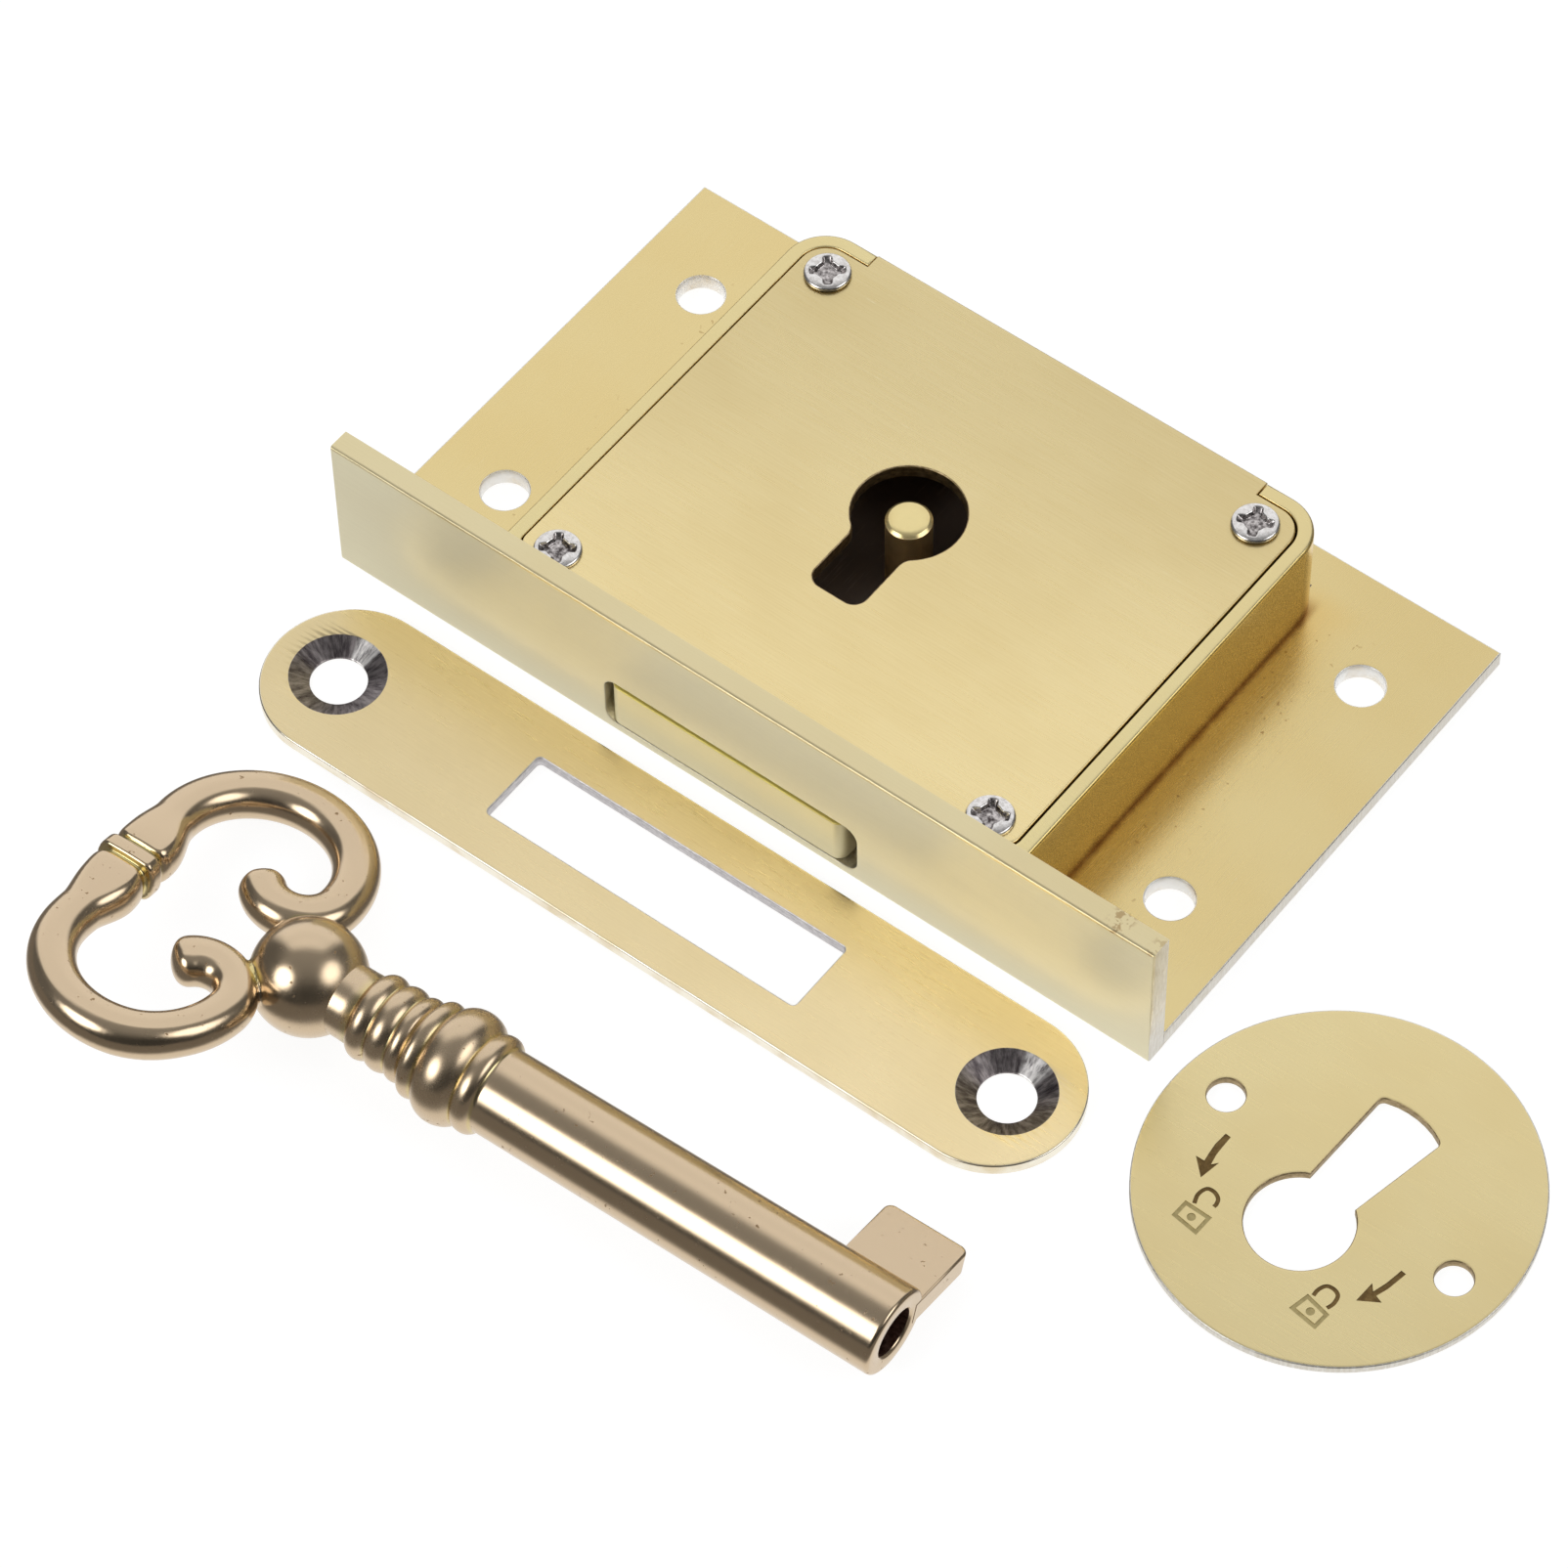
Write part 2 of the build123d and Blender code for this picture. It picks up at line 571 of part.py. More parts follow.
def binding():
    """Ridge between two grooves, across the two flared ends."""
    reach = BINDING_RIDGE / 2 + BINDING_GROOVE
    across = Plane((BINDING_X, 0, 0), x_dir=(-1, 0, 0), z_dir=(0, 1, 0))
    core = extrude(bow_section(across, GROOVE_WIDTH, GROOVE_THICK), amount=reach, both=True)
    ridge = extrude(bow_section(across, RIDGE_WIDTH, RIDGE_THICK), amount=BINDING_RIDGE / 2, both=True)
    return core + ridge


def key_shank():
    """Neck with its rings, then the tapered barrel, turned about X."""
    edges = [
        Line((0, 0), (0, NECK_R)),
        Line((0, NECK_R), (BALL_R * 0.75, NECK_R)),
        Line((BALL_R * 0.75, NECK_R), (RING_EDGES[0], RING_VALLEY_R[0])),
    ]
    for i, crest in enumerate(RING_CREST_R):
        x0, x1 = RING_EDGES[i], RING_EDGES[i + 1]
        middle = ((x0 + x1) / 2, crest)
        edges.append(Spline((x0, RING_VALLEY_R[i]), middle, (x1, RING_VALLEY_R[i + 1])))
    tip_x = KEY_LENGTH - BARREL_TIP_CHAMFER
    tip_r = BARREL_TIP_R - BARREL_TIP_CHAMFER
    edges += [
        Line((RING_EDGES[-1], BARREL_NECK_R), (tip_x, BARREL_TIP_R)),
        Line((tip_x, BARREL_TIP_R), (KEY_LENGTH, tip_r)),
        Line((KEY_LENGTH, tip_r), (KEY_LENGTH, 0)),
        Line((KEY_LENGTH, 0), (0, 0)),
    ]
    return revolve(make_face(edges), Axis.X)


def key():
    """Key in one casting, resting on its largest ring, its tip and one side of its bow."""
    bit = box(KEY_LENGTH - BIT_WIDTH, KEY_LENGTH, BORE_R + 1, BIT_REACH, -BIT_THICK / 2, BIT_THICK / 2)
    bit = fillet(bit.edges().filter_by(Axis.Z).group_by(Axis.Y)[-1], BIT_CORNER_R)
    upper = scroll()
    body = key_shank() + Sphere(BALL_R) + upper + mirror(upper, about=Plane.XZ) + binding() + bit
    bore = Pos(KEY_LENGTH - BORE_DEPTH / 2, 0, 0) * Rot(0, 90, 0) * Cylinder(BORE_R, BORE_DEPTH)
    body -= bore
    ring_x = (RING_EDGES[4] + RING_EDGES[5]) / 2
    ring_r = max(RING_CREST_R)
    pitch = math.atan2(ring_r - BARREL_TIP_R, KEY_LENGTH - ring_x)
    bow_height = ring_r + (ring_x - SCROLL_X) * math.tan(pitch)
    roll = math.asin((bow_height - BOW_THICK / 2) / (SCROLL_Y + SCROLL_R))
    body = Rot(-math.degrees(roll), 0, 0) * body
    body = Rot(0, math.degrees(pitch), 0) * body
    body = Rot(0, 0, KEY_TURN) * body
    return Pos(key_x, key_y, -body.bounding_box().min.Z) * body


save("back_plate", back_plate())
save("case_frame", case_frame())
save("cover_plate", cover_plate())
for place, (x, y) in screw_places.items():
    save("cover_screw_" + place, cover_screw(x, y))
    save("frame_rivet_" + place, frame_rivet(x, y))
save("drill_pin", drill_pin())
save("bolt", bolt())
save("bolt_stump", rod(stump_x, stump_y, STUMP_R, tail_bottom, STUMP_TOP))
for side, (x, y) in guide_places.items():
    save("bolt_guide_post_" + side, guide_post(x, y))
save("lever", lever())
save("lever_pivot", lever_pivot())
save("lever_spring", lever_spring())
save("strike_plate", strike_plate())
save("escutcheon", escutcheon())
save("key", key())
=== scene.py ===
import math

import bpy
from mathutils import Matrix, Vector, geometry


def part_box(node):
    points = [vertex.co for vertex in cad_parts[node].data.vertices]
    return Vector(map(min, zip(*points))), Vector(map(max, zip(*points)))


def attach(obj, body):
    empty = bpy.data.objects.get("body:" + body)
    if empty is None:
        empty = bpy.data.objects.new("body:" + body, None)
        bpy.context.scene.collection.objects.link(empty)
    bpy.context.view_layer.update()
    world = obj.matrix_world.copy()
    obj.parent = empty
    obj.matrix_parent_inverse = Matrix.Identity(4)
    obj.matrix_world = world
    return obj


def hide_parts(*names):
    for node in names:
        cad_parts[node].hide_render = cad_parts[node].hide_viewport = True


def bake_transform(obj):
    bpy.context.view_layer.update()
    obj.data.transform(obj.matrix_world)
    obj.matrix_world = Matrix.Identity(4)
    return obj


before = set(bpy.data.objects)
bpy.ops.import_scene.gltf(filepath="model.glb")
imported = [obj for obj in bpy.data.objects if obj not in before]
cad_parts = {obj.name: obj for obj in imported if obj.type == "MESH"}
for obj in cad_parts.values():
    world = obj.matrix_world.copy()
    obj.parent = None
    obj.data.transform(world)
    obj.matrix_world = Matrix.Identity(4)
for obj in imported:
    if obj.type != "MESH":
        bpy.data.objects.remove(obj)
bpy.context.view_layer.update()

MM = 0.001

# Sizes in millimetres and degrees, in the lock's own frame. The flat strip beside a rounded edge keeps the
# shading of the face even.
FLAT_STRIP = 0.22

# Back plate and selvedge. The slot is left, right, bottom, top and corner radius.
HALF_LENGTH, FRONT_Y, REAR_Y, PLATE_THICK = 50.0, -31.5, 27.7, 2.0
SELVEDGE_THICK, SELVEDGE_HEIGHT, FOLD_R = 2.5, 18.0, 0.5
INNER_Y = FRONT_Y + SELVEDGE_THICK
FIXING_X, FIXING_Y, FIXING_R = 41.3, 16.0, 2.5
SLOT, CHANNEL_END_Y = (-16.0, 15.1, 1.2, 7.8, 1.6), -15.6

# Case wall, cover and keyhole. The keyhole's places are from the middle of the drill pin.
CASE_HALF, CASE_REAR_Y, CASE_TOP, CASE_WALL, CASE_R, CASE_FRONT_R = 32.0, 23.6, 13.4, 1.7, 4.8, 0.8
COVER_UNDER, COVER_GAP, TAB_HALF, COVER_FRONT_R = 11.8, 0.15, 24.0, 1.45
COVER_SHIFT, TAB_SPREAD = (-0.05, 0.05, 0), 0.08
BOSS_R, BOSS_HOLE_R = 3.2, 0.9
PIN_X, PIN_Y, PIN_R, PIN_FOOT_R, PIN_TOP, PIN_CHAMFER, PIN_DOME = -1.8, -0.8, 2.4, 1.8, 12.6, 0.36, 0.05
KEYHOLE_R, KEYHOLE_HALF, KEYHOLE_END, KEYHOLE_CORNER = 5.8, 3.1, -12.5, 1.5
NECK_Y, NECK_R, NECK_TURN = -5.81, 1.8, 49.8

# Cover screws. The shift is that of the rear heads off their holes.
SCREW_X, SCREW_Y, SCREW_SHIFT = 26.45, {"front": -25.3, "rear": 18.45}, (-0.3, 0.1, 0.15)
SCREW_R, SCREW_RISE, SHANK_R, SHANK_LENGTH = 2.45, 0.60, 1.25, 7.3
RECESS_DEPTH, RECESS_REACH, ARM_HALF = 0.54, 1.95, 0.52

# Bolt and spring. The head is left, right, bottom, top, corner radius and length. The spring bends between
# two places, counted from its root.
HEAD = (-15.4, 13.3, 1.42, 7.2, 1.2, 15.0)
TAIL_UNDER, TAIL_TOP = 2.1, 4.6
TAIL_LEFT, TAIL_RIGHT, TAIL_FRONT, TAIL_REAR = -20.1, 17.4, -19.5, 18.6
GAP_LEFT, GAP_RIGHT, GAP_FRONT = -14.7, 9.5, -13.7
NOTCH_X, NOTCH_FRONT, NOTCH_REAR = 11.1, 1.15, 4.75
GUIDE_X, GUIDE_FRONT, GUIDE_REAR, GUIDE_R = (-17.4, 14.2), 3.8, 11.7, 1.56
SPRING_THICK, SPRING_BEND = 0.4, (1.0, 7.2)

# Strike plate and disc, with their turns on the table
STRIKE_X, STRIKE_Y, STRIKE_TURN = 0.8, -43.35, 0.22
STRIKE_LENGTH, STRIKE_WIDTH, STRIKE_THICK = 97.2, 18.1, 1.3
OPENING_HALF, OPENING_HALF_WIDTH, OPENING_CORNER = 18.95, 4.2, 0.5
STRIKE_HOLE_X, SINK_R, STRIKE_NUDGE = 41.1, 2.9, (-0.15, 0.3)
DISC_X, DISC_Y, DISC_R, DISC_THICK, DISC_TURN = 72.7, -32.3, 19.75, 0.9, -7.2
DISC_SHAPE, DISC_HOLE_X, DISC_HOLE_R = (0.988, 1.014), 14.65, 1.9
BOWL_Y, BOWL_R, BOWL_TURN = -5.4, 5.35, math.degrees(math.atan2(4.52, 2.865))
SIGN_LINE, SIGN_DEPTH, SIGN_DOT_R = 0.42, 0.06, 0.44

# Key. Its barrel lies along X, and its places are from the middle of the ball. Scroll and curl are the x, y
# and radius of their middle line. The skin's steps are those of the casting's mesh.
KEY_X, KEY_Y, KEY_TURN, KEY_LENGTH, BALL_R, BORE_R, BORE_DEPTH = -17.2, -75.4, 2.7, 68.0, 5.85, 2.6, 15.0
RING_EDGES = (7.4, 9.6, 12.0, 13.8, 15.8, 20.3, 22.5)
RING_VALLEY_R = (3.75, 3.85, 3.85, 3.95, 4.7, 4.8, 4.45)
RING_CREST_R = (4.5, 4.5, 4.5, 5.15, 6.0, 5.2)
BARREL_NECK_R, BARREL_TIP_R, BIT_REACH, BIT_WIDTH, BIT_THICK, BIT_R = 4.45, 4.6, 12.0, 8.7, 2.9, 0.9
SCROLL, CURL, TIP_REACH, BALL_SHIFT = (-12.5, 9.0, 9.5), (-7.0, 9.0, 4.0), 2.0, (0.35, 0, -0.1)
CURL_TURN, SCROLL_START, BINDING_X = 134.0, 186.0, -21.3
BOW_WIDTH, BOW_THICK, BOW_SIDE = 4.8, 4.3, 1.75
FLARE_WIDTH, FLARE_THICK, FLARE_SIDE, FLARE_LENGTH = 6.5, 4.7, 1.35, 3.0
SKIN_STEP, QUICK_SKIN_STEP, SKIN_SOFTENING = 0.17, 0.45, 3


# Outlines: lists of points, with the metal on the left of the way round
def arc(x, y, radius, start, end, steps):
    """Points on an arc between two angles in degrees, both ends included."""
    angles = [math.radians(start + (end - start) * i / steps) for i in range(steps + 1)]
    return [(x + radius * math.cos(a), y + radius * math.sin(a)) for a in angles]


def circle(x, y, radius, steps=64):
    """Points round a whole circle, counterclockwise."""
    return arc(x, y, radius, 0, 360, steps)[:-1]


def rounded_box(x0, x1, y0, y1, radius, steps=8, rear=None):
    """Rectangle with round corners, counterclockwise from its lower left corner."""
    rear = radius if rear is None else rear
    points = arc(x0 + radius, y0 + radius, radius, 180, 270, steps)
    points += arc(x1 - radius, y0 + radius, radius, 270, 360, steps)
    points += arc(x1 - rear, y1 - rear, rear, 0, 90, steps)
    return points + arc(x0 + rear, y1 - rear, rear, 90, 180, steps)


def hole(points):
    """The outline the other way round, as a hole needs."""
    return list(reversed(points))


def inset(points, amounts):
    """The outline moved into the metal, each side by its own amount."""
    count = len(points)
    sides = []
    for i in range(count):
        (x0, y0), (x1, y1) = points[i], points[(i + 1) % count]
        length = math.hypot(x1 - x0, y1 - y0)
        sides.append(((y0 - y1) / length, (x1 - x0) / length))
    moved = []
    for i in range(count):
        (ax, ay), (bx, by) = sides[i - 1], sides[i]
        p, q = amounts[i - 1], amounts[i]
        turn = ax * by - ay * bx
        if abs(turn) > 0.2:
            dx, dy = (p * by - q * ay) / turn, (q * ax - p * bx) / turn
        else:
            share = (p + q) / 2 / (1 + ax * bx + ay * by)
            dx, dy = (ax + bx) * share, (ay + by) * share
        moved.append((points[i][0] + dx, points[i][1] + dy))
    return moved


def stroke(points, width):
    """Outline of a line with a width, drawn through points."""
    left, right = [], []
    for i, (x, y) in enumerate(points):
        x0, y0 = points[max(i - 1, 0)]
        x1, y1 = points[min(i + 1, len(points) - 1)]
        length = math.hypot(x1 - x0, y1 - y0)
        nx, ny = (y0 - y1) / length * width / 2, (x1 - x0) / length * width / 2
        left.append((x + nx, y + ny))
        right.append((x - nx, y - ny))
    return right + left[::-1]


def way_round(points, left):
    """The outline with its inside on the left, or on the right."""
    area = sum(a[0] * b[1] - b[0] * a[1] for a, b in zip(points, points[1:] + points[:1]))
    return points if (area > 0) == left else points[::-1]


def curve_through(points, steps):
    """Smooth line through a few points."""
    padded = [points[0], *points, points[-1]]
    line = []
    for i in range(len(points) - 1):
        a, b, c, d = [Vector(p) for p in padded[i:i + 4]]
        for k in range(steps):
            t = k / steps
            bend, swing = 2 * a - 5 * b + 4 * c - d, 3 * b - a - 3 * c + d
            line.append(tuple(0.5 * (2 * b + (c - a) * t + bend * t * t + swing * t ** 3)))
    return line + [tuple(points[-1])]


def round_edge(radius, steps=3):
    """Inset and drop of each row of a rounded edge, from the wall to the flat."""
    angles = [math.pi / 2 * i / steps for i in range(steps + 1)]
    return [(radius * (1 - math.cos(a)), radius * (1 - math.sin(a))) for a in angles]


def clamp(value):
    """The value kept from 0 to 1."""
    return max(0.0, min(1.0, value))


def eased(share):
    """A share from 0 to 1 that starts and ends slowly."""
    return share * share * (3 - 2 * share)


class Metal:
    """Points in millimetres, faces, and the number of each face's finish."""

    def __init__(self):
        self.points, self.faces, self.finish = [], [], []

    def ring(self, points):
        """Adds points and gives their numbers."""
        start = len(self.points)
        self.points += [Vector(p) for p in points]
        return list(range(start, len(self.points)))

    def wall(self, low, high, finish=0, closed=True):
        """Strip of faces between two rings."""
        count = len(low)
        for i in range(count if closed else count - 1):
            j = (i + 1) % count
            self.faces.append((low[i], low[j], high[j], high[i]))
            self.finish.append(finish)

    def walls(self, rings, finish=0, closed=True):
        """Strips of faces between rings, from each to the next."""
        for low, high in zip(rings, rings[1:]):
            self.wall(low, high, finish, closed)

    def cap(self, rings, up=True, finish=0):
        """Flat face within a ring, less the rings inside it."""
        index = [i for ring in rings for i in ring]
        outlines = [[Vector(self.points[i][:2]).to_3d() for i in ring] for ring in rings]
        for a, b, c in geometry.tessellate_polygon(outlines):
            a, b, c = index[a], index[b], index[c]
            side, across = self.points[b] - self.points[a], self.points[c] - self.points[a]
            area = side.x * across.y - side.y * across.x
            if abs(area) > 1e-9:
                self.faces.append((a, b, c) if (area > 0) == up else (a, c, b))
                self.finish.append(finish)

    def fan(self, ring, tip, finish=0):
        """Closes a ring with faces to one point."""
        middle = self.ring([tip])[0]
        for i, j in zip(ring, ring[1:] + ring[:1]):
            self.faces.append((i, j, middle))
            self.finish.append(finish)

    def paint(self, finish, test, whole=True):
        """Gives a finish to each face whose points all pass a test, or whose middle passes it."""
        for number, face in enumerate(self.faces):
            points = [self.points[i] for i in face]
            if not whole:
                points = [sum(points, Vector()) / len(points)]
            if all(test(p) for p in points):
                self.finish[number] = finish

    def place(self, matrix):
        """Moves the metal by a matrix."""
        self.points = [matrix @ p for p in self.points]
        return self

    def join(self, other):
        """Adds the faces of other metal."""
        start = len(self.points)
        self.points += other.points
        self.faces += [tuple(i + start for i in face) for face in other.faces]
        self.finish += other.finish
        return self

    def mesh(self, name):
        """Blender mesh, in metres."""
        made = bpy.data.meshes.new(name)
        made.from_pydata([p * MM for p in self.points], [], self.faces)
        made.polygons.foreach_set("material_index", self.finish)
        made.validate()
        return made

    def piece(self, name, body, slot, finishes, nodes, smooth=38):
        """Object that rides on a body and stands for its CAD nodes."""
        made = bpy.data.objects.new(name, self.mesh(name))
        bpy.context.scene.collection.objects.link(made)
        for finish in finishes:
            made.data.materials.append(finish)
        made.data.shade_smooth()
        made.data.set_sharp_from_angle(angle=math.radians(smooth))
        level = made.modifiers.new("even_shading", "WEIGHTED_NORMAL")
        level.keep_sharp = True
        if body:
            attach(made, body)
        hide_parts(*nodes)
        return made


class Outline:
    """One outline of a plate, with the rounding of its edges.

    Sides weigh the rounding of each side. Rows give the inset and height of each row themselves."""

    def __init__(self, points, top=0.1, under=0.1, sides=None, finish=0, rows=None):
        self.points, self.finish = points, finish
        self.sides = sides or [1.0] * len(points)
        self.top, self.under, self.rows = top, under, rows


def plate(outlines, low, high, pockets=(), steps=3):
    """Flat plate between two heights. The first outline is the outer one, and the others are holes.

    Each pocket is cut into the top: its outlines, its depth and its finish."""
    metal = Metal()
    tops, unders = [], []
    for line in outlines:
        rows = line.rows
        if rows is None:
            under = round_edge(line.under, steps)[::-1] if line.under else [(0, 0)]
            top = round_edge(line.top, steps) if line.top else [(0, 0)]
            rows = [(x, low + z) for x, z in under] + [(x, high - z) for x, z in top]
        rings = []
        for depth, z in rows:
            moved = inset(line.points, [depth * side for side in line.sides]) if depth else line.points
            rings.append(metal.ring([(x, y, z) for x, y in moved]))
        metal.walls(rings, line.finish)
        ends = [rings[0], rings[-1]]
        for i, rounding in enumerate((line.under, line.top)):
            if rounding and line.rows is None:
                strip = inset(line.points, [rounding * side + FLAT_STRIP for side in line.sides])
                ends[i] = metal.ring([(x, y, (low, high)[i]) for x, y in strip])
        if ends[0] is not rings[0]:
            metal.wall(ends[0], rings[0])
        if ends[1] is not rings[-1]:
            metal.wall(rings[-1], ends[1])
        unders.append(ends[0])
        tops.append(ends[1])
    floors = []
    for loops, depth, finish in pockets:
        low_rings = []
        for points in loops:
            rim = metal.ring([(x, y, high) for x, y in points])
            low_rings.append(metal.ring([(x, y, high - depth) for x, y in points]))
            metal.wall(low_rings[-1], rim, finish)
            tops.append(rim)
        floors.append((low_rings, finish))
    metal.cap(tops, True)
    metal.cap(unders, False)
    for rings, finish in floors:
        metal.cap(rings, True, finish)
    return metal


def lathe(profile, steps=96, finish=0, start=None, end=None):
    """Profile of radius and height pairs turned about Z, from the bottom up on the outside.

    Start and end are the heights of the points that close it."""
    metal = Metal()
    rings = []
    for radius, z in profile:
        turns = [math.tau * i / steps for i in range(steps)]
        rings.append(metal.ring([(radius * math.cos(a), radius * math.sin(a), z) for a in turns]))
    metal.walls(rings, finish)
    if start is not None:
        metal.fan(rings[0][::-1], (0, 0, start), finish)
    if end is not None:
        metal.fan(rings[-1], (0, 0, end), finish)
    return metal


# Finishes
class Wire:
    """A socket in a shader tree. A sum of wires and numbers adds Math nodes."""

    def __init__(self, tree, socket):
        self.tree, self.socket = tree, socket

    def math(self, operation, *values):
        inputs = dict(enumerate(values))
        return self.tree.node("ShaderNodeMath", {"operation": operation}, inputs)

    def __add__(self, other):
        return self.math("ADD", self, other)

    def __sub__(self, other):
        return self.math("SUBTRACT", self, other)

    def __rsub__(self, other):
        return self.math("SUBTRACT", other, self)

    def __mul__(self, other):
        return self.math("MULTIPLY", self, other)

    def __truediv__(self, other):
        return self.math("DIVIDE", self, other)

    def __rtruediv__(self, other):
        return self.math("DIVIDE", other, self)

    def __lt__(self, other):
        return self.math("LESS_THAN", self, other)

    def __gt__(self, other):
        return self.math("GREATER_THAN", self, other)

    __radd__ = __add__
    __rmul__ = __mul__

    def least(self, other):
        return self.math("MINIMUM", self, other)

    def most(self, other):
        return self.math("MAXIMUM", self, other)

    def size(self):
        return self.math("ABSOLUTE", self)

    def between(self, low, high):
        """0 below low, 1 above high and smooth in between."""
        inputs = {"Value": self, "From Min": low, "From Max": high}
        return self.tree.node("ShaderNodeMapRange", {"interpolation_type": "SMOOTHSTEP"}, inputs)


class Tree:
    """Nodes of one finish, or of the world."""

    def __init__(self, owner):
        owner.use_nodes = True
        self.nodes, self.links = owner.node_tree.nodes, owner.node_tree.links
        self.nodes.clear()

    def node(self, kind, settings=None, inputs=None, out=0):
        """Any node: its settings first, then the values and links of its sockets."""
        made = self.nodes.new(kind)
        for name, value in (settings or {}).items():
            setattr(made, name, value)
        for name, value in (inputs or {}).items():
            if isinstance(value, Wire):
                self.links.new(value.socket, made.inputs[name])
            elif hasattr(value, "__len__") and len(value) == 3 and made.inputs[name].type == "RGBA":
                made.inputs[name].default_value = (*value, 1)
            else:
                made.inputs[name].default_value = value
        return Wire(self, made.outputs[out] if made.outputs else None)

    def mix(self, share, first, second):
        """Colour between two colours."""
        return self.node("ShaderNodeMix", {"data_type": "RGBA"}, {0: share, 6: first, 7: second}, 2)

    def tint(self, share, first, second):
        """First colour multiplied by the second, by a share."""
        settings = {"data_type": "RGBA", "blend_type": "MULTIPLY"}
        return self.node("ShaderNodeMix", settings, {0: share, 6: first, 7: second}, 2)

    def vector(self, operation, first, second, out=0):
        """Vector sum, or with out=1 its number."""
        return self.node("ShaderNodeVectorMath", {"operation": operation}, {0: first, 1: second}, out)

    def place(self, scale=(1, 1, 1)):
        """Place on the part in millimetres, stretched."""
        here = self.node("ShaderNodeTexCoord", out="Object")
        return self.vector("MULTIPLY", here, [s / MM for s in scale])

    def grain(self, scale, detail=2.0, rough=0.5, shift=(0, 0, 0)):
        """Noise from 0 to 1, with its scale along each axis per millimetre."""
        here = self.vector("ADD", self.place(scale), shift)
        inputs = {"Vector": here, "Scale": 1.0, "Detail": detail, "Roughness": rough}
        return self.node("ShaderNodeTexNoise", {"noise_dimensions": "3D"}, inputs)

    def parts(self, vector):
        """The x, y and z of a vector."""
        first = self.node("ShaderNodeSeparateXYZ", None, {0: vector})
        return [Wire(self, socket) for socket in first.socket.node.outputs]

    def bump(self, height, strength, distance):
        """Normal of small dents and scratches, with their depth in millimetres."""
        inputs = {"Height": height, "Strength": strength, "Distance": distance * MM}
        return self.node("ShaderNodeBump", None, inputs)

    def surface(self, inputs):
        """The shader itself and its output."""
        shader = self.node("ShaderNodeBsdfPrincipled", None, inputs)
        self.node("ShaderNodeOutputMaterial", None, {"Surface": shader})


BRASS, TARNISH, WALL_REFLECTION_TINT, MARK_AND_SHADE = (0.93, 0.77, 0.41), (0.80, 0.61, 0.26), (1.0, 0.83, 0.52), (0.42, 0.27, 0.14)
SHADE, DULL, SCRATCH, GLINT = (0.5, 0.5, 0.5), (0.20, 0.165, 0.155), (0.74, 0.68, 0.52), (1.0, 0.92, 0.70)


def finish(name):
    """New material and its tree."""
    made = bpy.data.materials.new(name)
    return made, Tree(made)


def satin_brass(name, along, colour=BRASS, roughness=0.30, streak=1.0, stain=0.5, painted_falloff=None,
                painted_reflection=None, marks_and_shade=None, metal=1.0):
    """Brushed brass: fine streaks along one axis, soft cloudy tarnish and a few painted glints.

    Falloff is painted shade where less light falls: its direction, where it starts and ends, and its share.
    The next two are functions that give a mask on a tree: for a painted reflection of a nearby wall, as
    darker, richer brass, and for dark marks and painted shade.
    Metal is a number, or a function that gives it on a tree."""
    made, tree = finish(name)
    slow, fast = 0.16, 5.5
    scale = (slow, fast, fast) if along == "x" else (fast, slow, fast)
    brush = tree.grain(scale, 4.0, 0.62)
    fine = tree.grain(tuple(2.3 * s for s in scale), 2.0, 0.6, (7, 3, 1))
    cloud = tree.grain((0.045, 0.06, 0.06), 3.0, 0.55, (2, 9, 4))
    glint_patches = tree.grain((0.9, 1.3, 1.3), 3.0, 0.6, (5, 1, 8))
    shade = (cloud.between(0.35, 0.7) * stain).least(1.0)
    base = tree.mix(shade * 0.45, colour, TARNISH)
    # Painted shade: the part darkens slowly along one direction.
    if painted_falloff:
        way, start, end, share = painted_falloff
        along_way = tree.vector("DOT_PRODUCT", tree.place(), way, 1)
        base = tree.tint(along_way.between(start, end) * share, base, SHADE)
    # Painted reflection of a nearby wall, as darker, richer brass.
    if painted_reflection:
        base = tree.tint(painted_reflection(tree), base, WALL_REFLECTION_TINT)
    # Dark marks, and painted shade along the foot of the case wall.
    if marks_and_shade:
        base = tree.tint(marks_and_shade(tree), base, MARK_AND_SHADE)
    if callable(metal):
        metal = metal(tree)
        base = tree.mix(1 - metal, base, DULL)
    base = tree.tint((0.62 - brush).most(0.0) * (1.1 * streak), base, SCRATCH)
    # Painted glints: a few short bright strokes in the colour, where the streaks catch the light.
    glints = (brush.between(0.66, 0.72) * glint_patches.between(0.5, 0.66)) * (0.5 * streak)
    base = tree.mix(glints, base, GLINT)
    rough = roughness + (brush - 0.5) * 0.22 + (cloud - 0.5) * 0.10
    height = brush * 0.7 + fine * 0.3
    tree.surface({
        "Base Color": base, "Metallic": metal, "Roughness": rough,
        "Normal": tree.bump(height, 0.5 * streak, 0.03),
        "Coat Weight": 0.3, "Coat Roughness": 0.4, "Coat IOR": 1.5,
    })
    return made


def cut_edge(name):
    """Sheared and ground edge, greyer than the faces."""
    made, tree = finish(name)
    drag = tree.grain((3.0, 3.0, 0.5), 4.0, 0.65)
    blotch = tree.grain((0.5, 0.5, 0.9), 3.0, 0.6, (3, 3, 3))
    base = tree.mix(drag.between(0.3, 0.75), (0.72, 0.68, 0.60), (0.95, 0.93, 0.88))
    base = tree.tint(blotch.between(0.5, 0.8) * 0.4, base, (0.80, 0.72, 0.55))
    tree.surface({
        "Base Color": base, "Metallic": 1.0, "Roughness": 0.36 + (drag - 0.5) * 0.3,
        "Normal": tree.bump(drag, 0.4, 0.03),
    })
    return made


